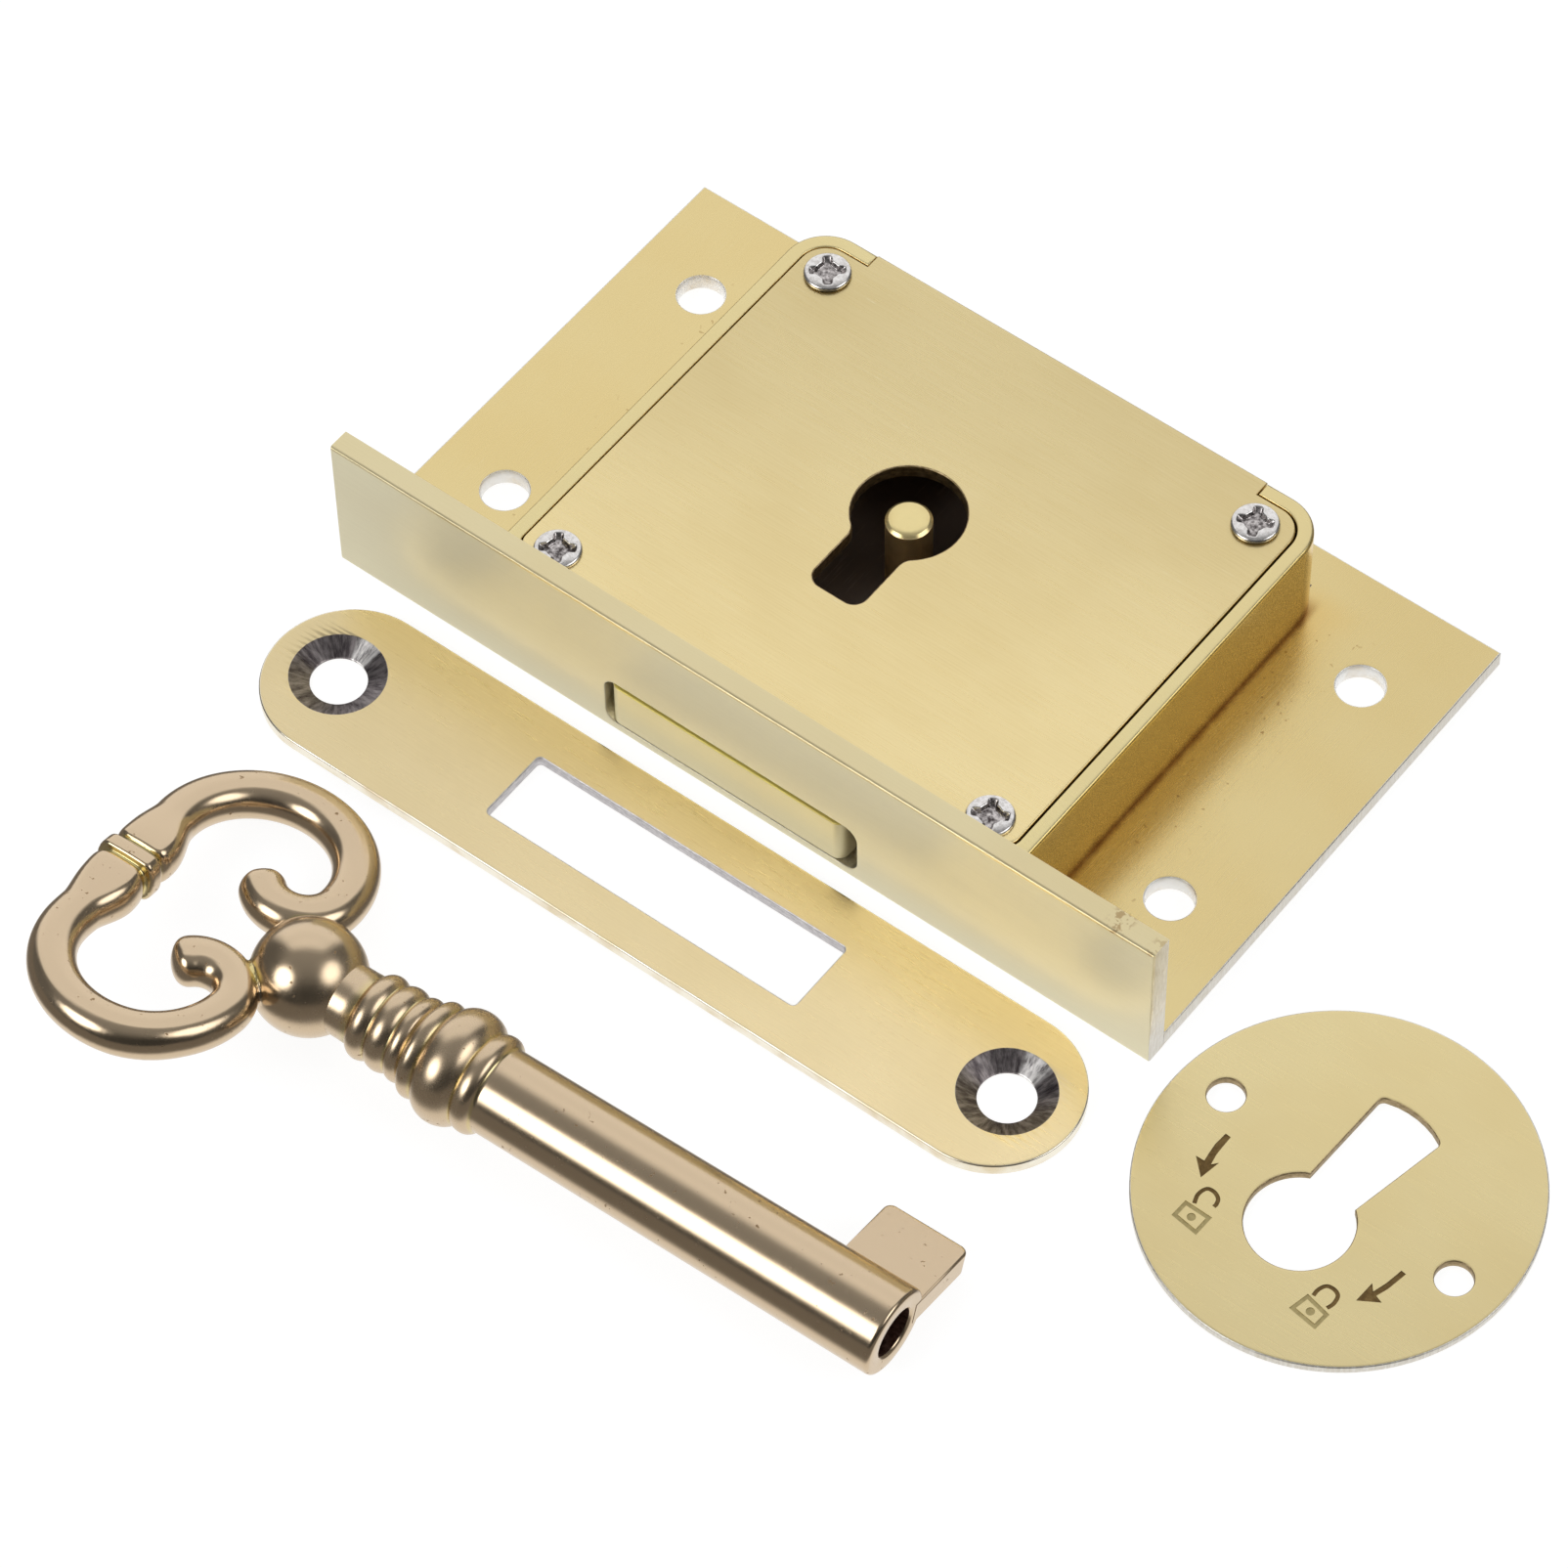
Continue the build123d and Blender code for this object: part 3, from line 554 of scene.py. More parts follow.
def bare_brass(name, colour, roughness, metal=1.0):
    """Machined brass with turning marks."""
    made, tree = finish(name)
    marks = tree.grain((2.2, 2.2, 7.0), 3.0, 0.6)
    cloud = tree.grain((0.25, 0.25, 0.25), 3.0, 0.55, (4, 4, 4))
    base = tree.mix(cloud.between(0.4, 0.75) * 0.5, colour, (0.66, 0.47, 0.18))
    tree.surface({
        "Base Color": base, "Metallic": metal, "Roughness": roughness + (marks - 0.5) * 0.2,
        "Normal": tree.bump(marks, 0.25, 0.02),
    })
    return made


def rose_gold(name):
    """Polished casting: soft waves, small pits, a little haze, and yellower metal in its hollows."""
    made, tree = finish(name)
    wave = tree.grain((0.35, 0.35, 0.35), 2.0, 0.5)
    pit = tree.grain((1.8, 1.8, 1.8), 2.0, 0.5, (6, 2, 5))
    sparse = tree.grain((0.3, 0.3, 0.3), 1.0, 0.5, (9, 8, 1))
    pits = (pit.between(0.67, 0.74) * sparse.between(0.42, 0.60))
    haze = tree.grain((1.2, 1.2, 1.2), 4.0, 0.6, (1, 7, 3))
    hollow = tree.node("ShaderNodeAttribute", {"attribute_name": "hollow"}, out="Fac")
    base = tree.mix(hollow.between(0.1, 0.9) * 0.85, (0.67, 0.525, 0.36), (0.74, 0.62, 0.27))
    base = tree.tint(pits * 0.8, base, (0.45, 0.36, 0.26))
    x, y, _ = tree.parts(tree.place())
    neck = (1 - (x - (KEY_X + 13.0)).size().between(8.0, 12.0)) * (y < KEY_Y + 12.0)
    rough = 0.20 + (haze - 0.5) * 0.10 + pits * 0.3 + neck * 0.07
    height = wave * 0.9 + haze * 0.02 - pits * 0.25
    tree.surface({
        "Base Color": base, "Metallic": 1.0, "Roughness": rough,
        "Normal": tree.bump(height, 0.22, 0.05),
    })
    return made


def nickel(name):
    """Bright plated steel with tool marks in the recess."""
    made, tree = finish(name)
    marks = tree.grain((2.5, 2.5, 2.5), 4.0, 0.65)
    base = tree.mix(marks.between(0.35, 0.7), (0.86, 0.84, 0.83), (0.62, 0.59, 0.57))
    tree.surface({
        "Base Color": base, "Metallic": 1.0, "Roughness": 0.16 + marks * 0.10,
        "Normal": tree.bump(marks, 0.3, 0.04),
    })
    return made


def dark_metal(name, light, dark, roughness, scale=(1.5, 1.5, 3.0)):
    """Darkened metal: etched signs, blued steel, and painted shade in holes and screw recesses."""
    made, tree = finish(name)
    marks = tree.grain(scale, 4.0, 0.65)
    base = tree.mix(marks.between(0.3, 0.75), dark, light)
    tree.surface({
        "Base Color": base, "Metallic": 1.0, "Roughness": roughness + (marks - 0.5) * 0.2,
        "Normal": tree.bump(marks, 0.3, 0.02),
    })
    return made


def countersink_finish(name):
    """Raw steel-dark cone with streaks that run down it, and a painted highlight on one side."""
    made, tree = finish(name)
    x, y, z = tree.parts(tree.place())
    side = (x - STRIKE_X) > 0
    hole_x = x - STRIKE_X - (side * 2.0 - 1.0) * STRIKE_HOLE_X
    turn = tree.node("ShaderNodeMath", {"operation": "ARCTAN2"}, {0: y - STRIKE_Y, 1: hole_x})
    about = tree.node("ShaderNodeCombineXYZ", None, {0: turn * 3.2, 1: z * 0.4, 2: side * 5.0})
    inputs = {"Vector": about, "Scale": 2.0, "Detail": 5.0, "Roughness": 0.7}
    streaks = tree.node("ShaderNodeTexNoise", None, inputs)
    base = tree.mix(streaks.between(0.35, 0.7), (0.10, 0.085, 0.09), (0.40, 0.36, 0.36))
    # Painted highlight: a pale patch on one side of each cone.
    cone_highlight = turn.between(1.15, 1.30) * (1 - turn.between(1.75, 1.90))
    base = tree.mix(cone_highlight * streaks.between(0.3, 0.6), base, (0.95, 0.92, 0.90))
    tree.surface({
        "Base Color": base, "Metallic": 1.0, "Roughness": 0.30 + (streaks - 0.5) * 0.2,
        "Normal": tree.bump(streaks, 0.4, 0.05),
    })
    return made


def flange_crease_shade_and_specks(tree):
    """Painted shade as a brown line on the flange along the case wall, and small dark specks near it."""
    x, y, _ = tree.parts(tree.place())
    side = x.size()
    patch = tree.grain((0.5, 0.5, 0.5), 2.0, 0.6, (1, 4, 2))
    specks = tree.grain((1.7, 1.7, 1.7), 1.0, 0.5, (8, 2, 3)).between(0.72, 0.76)
    line = (1 - (side + patch * 0.8).between(CASE_HALF + 0.2, CASE_HALF + 1.3)) * 0.9
    beside = 1 - y.between(CASE_REAR_Y - 4.0, CASE_REAR_Y - 1.0)
    return line.most(specks * (1 - side.between(CASE_HALF + 4.0, CASE_HALF + 9.0)) * 0.7) * beside


def corner_wear(tree):
    """Dark nicks across the top of the selvedge near its right end."""
    x = tree.parts(tree.place())[0]
    nicks = tree.grain((1.3, 1.3, 1.3), 2.0, 0.6, (2, 8, 5)).between(0.52, 0.60)
    band = x.between(43.6, 44.6) * (1 - x.between(45.8, 46.8))
    return nicks * band.most(x.between(48.6, 49.4) * 0.6) * 0.6


def wall_foot_shade(tree):
    """Painted shade as a brown line at the foot of the case wall."""
    z = tree.parts(tree.place())[2]
    patch = tree.grain((0.35, 0.35, 0.35), 2.0, 0.6, (1, 4, 2))
    return (1 - (z + patch * 1.6).between(PLATE_THICK + 0.5, PLATE_THICK + 2.4)) * 0.75


def dull_inside(tree):
    """Less shine on the plate inside the case, where it was never polished."""
    x, y, _ = tree.parts(tree.place())
    inside = (x.size() < CASE_HALF - CASE_WALL) * ((y + 2.7).size() < 26.0)
    return 1 - inside * 0.85


def painted_wall_reflection(tree):
    """Painted reflection of the case wall in the flange beside it, as darker, richer brass."""
    x, y, _ = tree.parts(tree.place())
    side = x.size()
    patch = tree.grain((0.12, 0.12, 0.12), 3.0, 0.6, (3, 6, 2))
    beside = 1 - y.between(CASE_REAR_Y - 3.0, CASE_REAR_Y + 1.0)
    return (1 - (side + patch * 3.0).between(CASE_HALF + 1.5, CASE_HALF + 8.0)) * beside * 0.5


# The falloffs of these finishes are painted shade: each part darkens slowly towards one side.
cover_finish = satin_brass("brushed_brass_cover", "x", streak=0.8, painted_falloff=((-0.35, 1, 0), -28, 24, 0.38))
# The flange takes a painted reflection of the case wall beside it.
flange_finish = satin_brass("satin_brass_flange", "y", (0.80, 0.65, 0.32), 0.25, streak=0.45, stain=0.8,
                            painted_falloff=((1, 0.5, 0), 15, 60, 0.16), painted_reflection=painted_wall_reflection, marks_and_shade=flange_crease_shade_and_specks,
                            metal=dull_inside)
# The selvedge's front is a pale brass, partly painted light from the table in front of it.
front_finish = satin_brass("satin_brass_front", "x", (1.0, 0.93, 0.66), 0.50, streak=0.3, stain=0.08,
                           painted_falloff=((-1, 0, 0), -60, 60, 0.19), metal=0.48)
# Partly painted reflection: the wall's sides are a deeper, oranger brass than the rim, which is paler like
# the cover.
case_finish = satin_brass("satin_brass_case", "x", (1.0, 0.72, 0.20), 0.25, streak=0.4,
                          painted_falloff=((0, -1, 0), 4, 28, 0.30), marks_and_shade=wall_foot_shade)
rim_finish = satin_brass("satin_brass_rim", "x", (0.81, 0.69, 0.36), streak=0.3)
top_finish = satin_brass("satin_brass_top", "x", (0.80, 0.70, 0.43), 0.34, streak=0.4, stain=0.4,
                         marks_and_shade=corner_wear)
strike_finish = satin_brass("brushed_brass_strike", "x", (1.0, 0.83, 0.49), streak=0.6, stain=0.25,
                            painted_falloff=((-1, 0, 0), -55, 50, 0.38))
disc_finish = satin_brass("satin_brass_disc", "x", (0.82, 0.69, 0.37), streak=0.35, stain=0.6,
                          painted_falloff=((0.5, -0.8, 0), 45, 88, 0.16))
edge_finish = cut_edge("cut_brass_edge")
works_finish = bare_brass("machined_brass", (0.50, 0.42, 0.32), 0.34, 0.3)
bolt_finish = satin_brass("bolt_brass", "x", (0.93, 0.85, 0.54), 0.50, streak=0.3, stain=0.2, metal=0.5)
bolt_top_finish = bare_brass("bolt_top_brass", (0.93, 0.80, 0.20), 0.40, 0.30)
# Painted light: the fixing holes' walls are nearly white, as bright as the table seen through the holes.
fixing_hole_light_finish = bare_brass("fixing_hole_painted_light", (1.0, 1.0, 0.99), 0.10, 0.25)
# Painted light: the pin's side is a brighter brass than its top, as if lit inside the keyhole.
pin_finish = bare_brass("pin_brass", (0.88, 0.73, 0.36), 0.22, 0.75)
pin_side_finish = bare_brass("pin_side_painted_light", (1.0, 0.74, 0.38), 0.40)
key_finish = rose_gold("polished_rose_gold")
# Painted shade inside the key's bore.
bore_shade_finish = dark_metal("key_bore_painted_shade", (0.42, 0.25, 0.20), (0.14, 0.07, 0.05), 0.4)
screw_finish = nickel("bright_nickel")
# Painted shade in the screws' recesses, with pale marks as painted glints.
recess_shade_finish = dark_metal("screw_recess_painted_shade", (0.80, 0.75, 0.74), (0.05, 0.04, 0.04), 0.25, (1.9, 1.9, 1.9))
sink_finish = countersink_finish("countersink_steel")
# Painted highlight: the strike's outer side is a pale, nearly white brass.
side_finish = bare_brass("strike_side_painted_highlight", (0.98, 0.93, 0.80), 0.14)
# Painted shade on the walls of the keyhole and of the disc's holes, as a darker brass.
hole_shade_finish = dark_metal("hole_wall_painted_shade", (0.62, 0.48, 0.28), (0.28, 0.20, 0.10), 0.4)
opening_finish = dark_metal("opening_wall", (0.86, 0.84, 0.86), (0.56, 0.54, 0.56), 0.4)
spring_finish = dark_metal("spring_steel", (0.42, 0.45, 0.52), (0.20, 0.22, 0.27), 0.28)
sign_finish = dark_metal("etched_sign", (0.30, 0.20, 0.08), (0.16, 0.10, 0.04), 0.55)
body_finish = dark_metal("light_etched_sign", (0.62, 0.52, 0.26), (0.44, 0.36, 0.17), 0.5)


# Pieces of the lock. The finish of a face is its place in the list that its piece is given.
def box_outline(half, low, high):
    """Rectangle from -half to half, and from low to high, from its lower left corner."""
    return [(-half, low), (half, low), (half, high), (-half, high)]


def back_plate():
    """Plate with fixing holes, and the selvedge with the bolt's slot."""
    corners = box_outline(HALF_LENGTH, INNER_Y, REAR_Y)
    sides = [0.0, 1.0, 1.0, 1.0]
    fixings = [hole(circle(x, y, FIXING_R)) for x in (-FIXING_X, FIXING_X) for y in (-FIXING_Y, FIXING_Y)]
    x0, x1, z0, z1, radius = SLOT
    channel = [corners[0], (x0, INNER_Y), (x0, CHANNEL_END_Y), (x1, CHANNEL_END_Y), (x1, INNER_Y),
               *corners[1:]]
    channel_sides = [0.0, 0.3, 0.3, 0.3, 0.0, 1.0, 1.0, 1.0]
    # The fixing holes' walls take the third finish, painted light.
    holes_low = [Outline(points, 0, 0.1, finish=2) for points in fixings]
    holes_high = [Outline(points, 0.12, 0, finish=2) for points in fixings]
    metal = plate([Outline(corners, 0, 0.12, sides, 1), *holes_low], 0, z0)
    metal.join(plate([Outline(channel, 0.12, 0, channel_sides, 1), *holes_high], z0, PLATE_THICK))
    rows = [(INNER_Y + FOLD_R * (1 - math.sin(a)), PLATE_THICK + FOLD_R * (1 - math.cos(a)))
            for a in [math.pi / 2 * i / 5 for i in range(6)]]
    for ends in ((-HALF_LENGTH + 0.1, x0 - 0.3), (x1 + 0.3, HALF_LENGTH - 0.1)):
        fold = Metal()
        fold.walls([fold.ring([(x, y, z - 0.01) for x in ends]) for y, z in rows], 0, False)
        metal.join(fold)
    metal.piece("flange_brass", "lock_case", "satin_brass", [flange_finish, edge_finish, fixing_hole_light_finish],
                ["back_plate"])

    front = box_outline(HALF_LENGTH, 0, SELVEDGE_HEIGHT)
    slot = hole(rounded_box(x0, x1, z0, z1, radius))
    selvedge = plate([Outline(front, 0.4, 0.15, [1.0, 0.3, 0.4, 0.3]), Outline(slot, 0.12, 0.08)],
                     0, SELVEDGE_THICK, steps=5)

    def cut(p):
        """Whether a place is on an end or in the slot, and not on the front or the back."""
        on_end = abs(abs(p.x) - HALF_LENGTH) < 0.05
        in_slot = x0 - 0.2 < p.x < x1 + 0.2 and z0 - 0.2 < p.y < z1 + 0.2 and p.z < SELVEDGE_THICK - 0.05
        return (on_end or in_slot) and 0.01 <= p.z <= SELVEDGE_THICK - 0.01

    selvedge.paint(1, cut, whole=False)
    # Painted shade: the top and the rounding into it take the darker top finish, which dims the highlight
    # along that edge.
    selvedge.paint(2, lambda p: p.y > SELVEDGE_HEIGHT - 0.38, whole=False)
    selvedge.place(Matrix.Translation((0, INNER_Y, 0)) @ Matrix.Rotation(math.radians(90), 4, "X"))
    selvedge.piece("selvedge_brass", "lock_case", "satin_brass", [front_finish, edge_finish, top_finish],
                   ["back_plate"])


def case_wall():
    """Wall round the works in three storeys: open for the bolt, whole, and open for the cover's tab."""
    steps = 14
    outer = rounded_box(-CASE_HALF, CASE_HALF, INNER_Y, CASE_REAR_Y, CASE_FRONT_R, steps, CASE_R)
    inner_half, y0, y1 = CASE_HALF - CASE_WALL, INNER_Y + CASE_WALL, CASE_REAR_Y - CASE_WALL
    inner = rounded_box(-inner_half, inner_half, y0, y1, COVER_FRONT_R + COVER_GAP, steps, CASE_R - CASE_WALL)

    def open_ring(gap0, gap1, rear):
        """The wall as one strip that runs from one side of a gap to the other."""
        y_out, y_in = (CASE_REAR_Y, y1) if rear else (INNER_Y, y0)
        start = (3 if rear else 1) * (steps + 1)
        out_part = outer[start:] + outer[:start]
        in_part = inner[start:] + inner[:start]
        first, last = (gap0, gap1) if rear else (gap1, gap0)
        line = [(first, y_out), *out_part, (last, y_out), (last, y_in), *reversed(in_part), (first, y_in)]
        weights = [1.0] * (len(out_part) + 1) + [0.3] * (len(in_part) + 3)
        return line, weights

    low_line, low_weights = open_ring(SLOT[0], SLOT[1], False)
    metal = plate([Outline(low_line, 0, 0.0, low_weights)], PLATE_THICK, SLOT[3])
    middle = [Outline(outer, 0, 0), Outline(hole(inner), 0, 0)]
    metal.join(plate(middle, SLOT[3], COVER_UNDER))
    gap = TAB_HALF + COVER_GAP
    top_line, top_weights = open_ring(-gap, gap, True)
    metal.join(plate([Outline(top_line, 0.4, 0, top_weights)], COVER_UNDER, CASE_TOP, steps=5))
    for sx in (-1, 1):
        for y in SCREW_Y.values():
            boss = lathe([(BOSS_R, PLATE_THICK), (BOSS_R, COVER_UNDER), (BOSS_HOLE_R, COVER_UNDER)], 32)
            metal.join(boss.place(Matrix.Translation((sx * SCREW_X, y, 0))))
    # The rim takes a paler tone like the cover's; the sides keep the deeper brass, partly painted reflection.
    metal.paint(1, lambda p: p.z > CASE_TOP - 0.12)
    metal.piece("case_wall_brass", "lock_case", "satin_brass", [case_finish, rim_finish], ["case_frame"])


def keyhole():
    """Round hole with a slot towards the selvedge and softly rounded necks."""
    neck_x, corner_x = KEYHOLE_HALF + NECK_R, KEYHOLE_HALF - KEYHOLE_CORNER
    corner_y = KEYHOLE_END + KEYHOLE_CORNER
    points = arc(0, 0, KEYHOLE_R, -NECK_TURN, 180 + NECK_TURN, 56)
    points += arc(-neck_x, NECK_Y, NECK_R, NECK_TURN + 0.1, 0, 8)[1:]
    points += arc(-corner_x, corner_y, KEYHOLE_CORNER, 180, 270, 8)
    points += arc(corner_x, corner_y, KEYHOLE_CORNER, 270, 360, 8)
    points += arc(neck_x, NECK_Y, NECK_R, 180, 179.9 - NECK_TURN, 8)[:-1]
    return [(x + PIN_X, y + PIN_Y) for x, y in points]


def cover():
    """Flat cover with its keyhole and a tab that lies on the rear wall."""
    rim, steps = CASE_WALL + COVER_GAP, 12
    half, y0, y1 = CASE_HALF - rim, INNER_Y + rim, CASE_REAR_Y - rim
    line = rounded_box(-half, half, y0, y1, COVER_FRONT_R, steps, CASE_R - rim)
    cut = 3 * (steps + 1)
    tab_half = TAB_HALF + TAB_SPREAD
    tab = [(tab_half, y1), (tab_half, CASE_REAR_Y), (-tab_half, CASE_REAR_Y), (-tab_half, y1)]
    line = line[:cut] + tab + line[cut:]
    weights = [0.45 if x < -5 else 1.0 for x, _ in line]
    weights[cut:cut + 4] = [0.6, 2.0, 0.4, 0.4]
    metal = plate([Outline(line, 0.18, 0.1, weights), Outline(hole(keyhole()), 0.15, 0.1, finish=1)],
                  COVER_UNDER, CASE_TOP, steps=4)
    metal.place(Matrix.Translation(COVER_SHIFT))
    metal.piece("cover_brass", "lock_case", "satin_brass", [cover_finish, hole_shade_finish], ["cover_plate"])


def recess_depth(x, y):
    """Depth of the cross recess below the head's top."""
    slope = clamp((RECESS_REACH - math.hypot(x, y)) / 0.60)
    arms = max(clamp((ARM_HALF - abs(v)) / 0.20) for v in (x, y))
    star = clamp((1.25 - (abs(x) + abs(y)) * 0.74) / 0.30)
    return RECESS_DEPTH * slope * max(arms, star)


def screw_head(turn):
    """Thin domed head with a cross recess, turned by some degrees."""
    rings, steps = 30, 144
    around = [(math.cos(math.tau * i / steps), math.sin(math.tau * i / steps)) for i in range(steps)]
    metal = Metal()
    rows = [metal.ring([(r * c, r * s, z) for c, s in around])
            for r, z in ((1.2, -0.01), (SCREW_R - 0.2, -0.01), (SCREW_R, 0.08), (SCREW_R, 0.24))]
    for k in range(1, rings):
        share = 1 - k / rings
        dome = SCREW_RISE - 0.22 * share ** 4 - (0.054 if k == 1 else 0)
        places = [(SCREW_R * share * c, SCREW_R * share * s) for c, s in around]
        rows.append(metal.ring([(x, y, dome - recess_depth(x, y)) for x, y in places]))
    metal.walls(rows)
    metal.fan(rows[-1], (0, 0, SCREW_RISE - RECESS_DEPTH))
    # Painted shade: the deeper faces of the recess take the dark recess finish.
    metal.paint(1, lambda p: math.hypot(p.x, p.y) < RECESS_REACH and p.z < 0.45, whole=False)
    return metal.place(Matrix.Rotation(math.radians(turn), 4, "Z"))


def cover_screws():
    """Four screws, each turned its own way. The rear heads stand a little off their holes."""
    turns = {("front", -1): 34, ("front", 1): 26, ("rear", -1): 38, ("rear", 1): 24}
    for (row, side), turn in turns.items():
        shank = lathe([(SHANK_R, -SHANK_LENGTH), (SHANK_R, 0.05)], 32, start=-SHANK_LENGTH)
        metal = screw_head(turn).join(shank)
        shift = SCREW_SHIFT if row == "rear" else (0, 0, 0)
        metal.place(Matrix.Translation(Vector((side * SCREW_X, SCREW_Y[row], CASE_TOP)) + Vector(shift)))
        name = row + ("_left" if side < 0 else "_right")
        metal.piece("screw_" + name, "lock_case", "nickel_screw", [screw_finish, recess_shade_finish],
                    ["cover_screw_" + name], 60)


def drill_pin():
    """Pin in the keyhole, with a soft chamfer and a slightly domed top."""
    shoulder = PIN_TOP - PIN_CHAMFER
    profile = [(PIN_FOOT_R, 0), (PIN_FOOT_R, PLATE_THICK), (PIN_R, PLATE_THICK), (PIN_R, shoulder)]
    profile += [(PIN_R - PIN_CHAMFER * s, shoulder + (PIN_CHAMFER - PIN_DOME) * s) for s in (0.1, 0.5, 0.9)]
    profile += [(PIN_R * k, PIN_TOP - PIN_DOME * (k / 0.84) ** 2) for k in (0.84, 0.6, 0.4, 0.2)]
    metal = lathe(profile, 72, start=0, end=PIN_TOP)
    # Painted light: the pin below its chamfer takes the brighter side finish.
    metal.paint(1, lambda p: p.z < PIN_TOP - 0.3)
    metal.place(Matrix.Translation((PIN_X, PIN_Y, 0)))
    metal.piece("drill_pin_brass", "lock_case", "bare_brass", [pin_finish, pin_side_finish], ["drill_pin"])


def bolt():
    """Bolt head with round front corners, and its slotted tail."""
    x0, x1, z0, z1, radius, length = HEAD
    y0, y1 = FRONT_Y, FRONT_Y + length
    line = arc(x0 + radius, y0 + radius, radius, 180, 270, 10)
    line += arc(x1 - radius, y0 + radius, radius, 270, 360, 10) + [(x1, y1), (x0, y1)]
    under = [5.0 if i < 5 or 15 <= i else 1.0 for i in range(len(line))]
    head = plate([Outline(line, 0.16, 0.16, under)], z0, z1, steps=4)
    tail = [(TAIL_LEFT, TAIL_FRONT), (TAIL_RIGHT, TAIL_FRONT), (TAIL_RIGHT, TAIL_REAR),
            (GAP_RIGHT, TAIL_REAR), (GAP_RIGHT, NOTCH_REAR), (NOTCH_X, NOTCH_REAR), (NOTCH_X, NOTCH_FRONT),
            (GAP_RIGHT, NOTCH_FRONT), (GAP_RIGHT, GAP_FRONT), (GAP_LEFT, GAP_FRONT), (GAP_LEFT, TAIL_REAR),
            (TAIL_LEFT, TAIL_REAR)]
    outlines = [Outline(tail)]
    for x in GUIDE_X:
        slot = arc(x, GUIDE_REAR, GUIDE_R, 0, 180, 12) + arc(x, GUIDE_FRONT, GUIDE_R, 180, 360, 12)
        outlines.append(Outline(hole(slot)))
    metal = head.join(plate(outlines, TAIL_UNDER, TAIL_TOP))
    metal.paint(1, lambda p: p.z > z1 - 0.1)
    metal.piece("bolt_brass", "bolt_body", "bare_brass", [bolt_finish, bolt_top_finish], ["bolt"])


def lever_spring():
    """Leaf spring bowed out against the case wall, baked in place and carried by no body."""
    low, high = [Vector(corner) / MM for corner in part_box("lever_spring")]
    (x0, y0), (x1, y1) = (low.x + SPRING_THICK / 2, low.y), (high.x - SPRING_THICK / 2, high.y)
    radius = ((x1 - x0) ** 2 + (y1 - y0) ** 2) / (2 * (x1 - x0))
    line = arc(x1 - radius, y1, radius, 0, math.degrees(math.asin((y0 - y1) / radius)), 24)
    metal = plate([Outline(way_round(stroke(line, SPRING_THICK), True), 0.04, 0.04)], low.z, high.z)
    spring = metal.piece("lever_spring_steel", None, "spring_steel", [spring_finish], ["lever_spring"])
    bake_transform(spring)


def strike_plate():
    """Round-ended plate with a bolt opening and two countersunk screw holes."""
    half, radius = STRIKE_LENGTH / 2, STRIKE_WIDTH / 2
    line = arc(half - radius, 0, radius, -90, 90, 40) + arc(-half + radius, 0, radius, 90, 270, 40)
    long, wide = OPENING_HALF, OPENING_HALF_WIDTH
    opening = rounded_box(-long, long, -wide, wide, OPENING_CORNER, 5)
    # The outer side takes the fourth finish, a painted highlight.
    outlines = [Outline(line, 0.14, 0.08, finish=3), Outline(hole(opening), 0.12, 0.08, finish=1)]
    rows = [(0, 0), (0, 0.22), (0.05, 0.27), (1.95, 1.25), (2.05, STRIKE_THICK)]
    for x, y in ((-STRIKE_HOLE_X, 0), (STRIKE_HOLE_X + STRIKE_NUDGE[0], STRIKE_NUDGE[1])):
        outlines.append(Outline(hole(circle(x, y, SINK_R, 96)), rows=rows, finish=2))
    metal = plate(outlines, 0, STRIKE_THICK)
    turn = Matrix.Rotation(math.radians(STRIKE_TURN), 4, "Z")
    metal.place(Matrix.Translation((STRIKE_X, STRIKE_Y, 0)) @ turn)
    metal.piece("strike_brass", "strike_body", "satin_brass",
                [strike_finish, opening_finish, sink_finish, side_finish], ["strike_plate"])


def padlock(corners, shackle):
    """Etched padlock: the frame of its body, its small keyhole and its shackle."""
    outer = way_round(corners, True)
    inner = inset(outer, [SIGN_LINE] * 4)
    middle = [sum(values) / 4 for values in zip(*corners)]
    body = [way_round(outer, False), way_round(inner, True)]
    dot = [way_round(circle(*middle, SIGN_DOT_R, 16), False)]
    bow = [way_round(stroke(shackle, SIGN_LINE), False)]
    return [(body, SIGN_DEPTH, 2), (dot, SIGN_DEPTH, 2), (bow, SIGN_DEPTH, 3)]


def turned(point):
    """Place on the disc before it is turned on the table."""
    a = math.radians(-DISC_TURN)
    x, y = point[0] / DISC_SHAPE[0], point[1] / DISC_SHAPE[1]
    return (x * math.cos(a) - y * math.sin(a), x * math.sin(a) + y * math.cos(a))


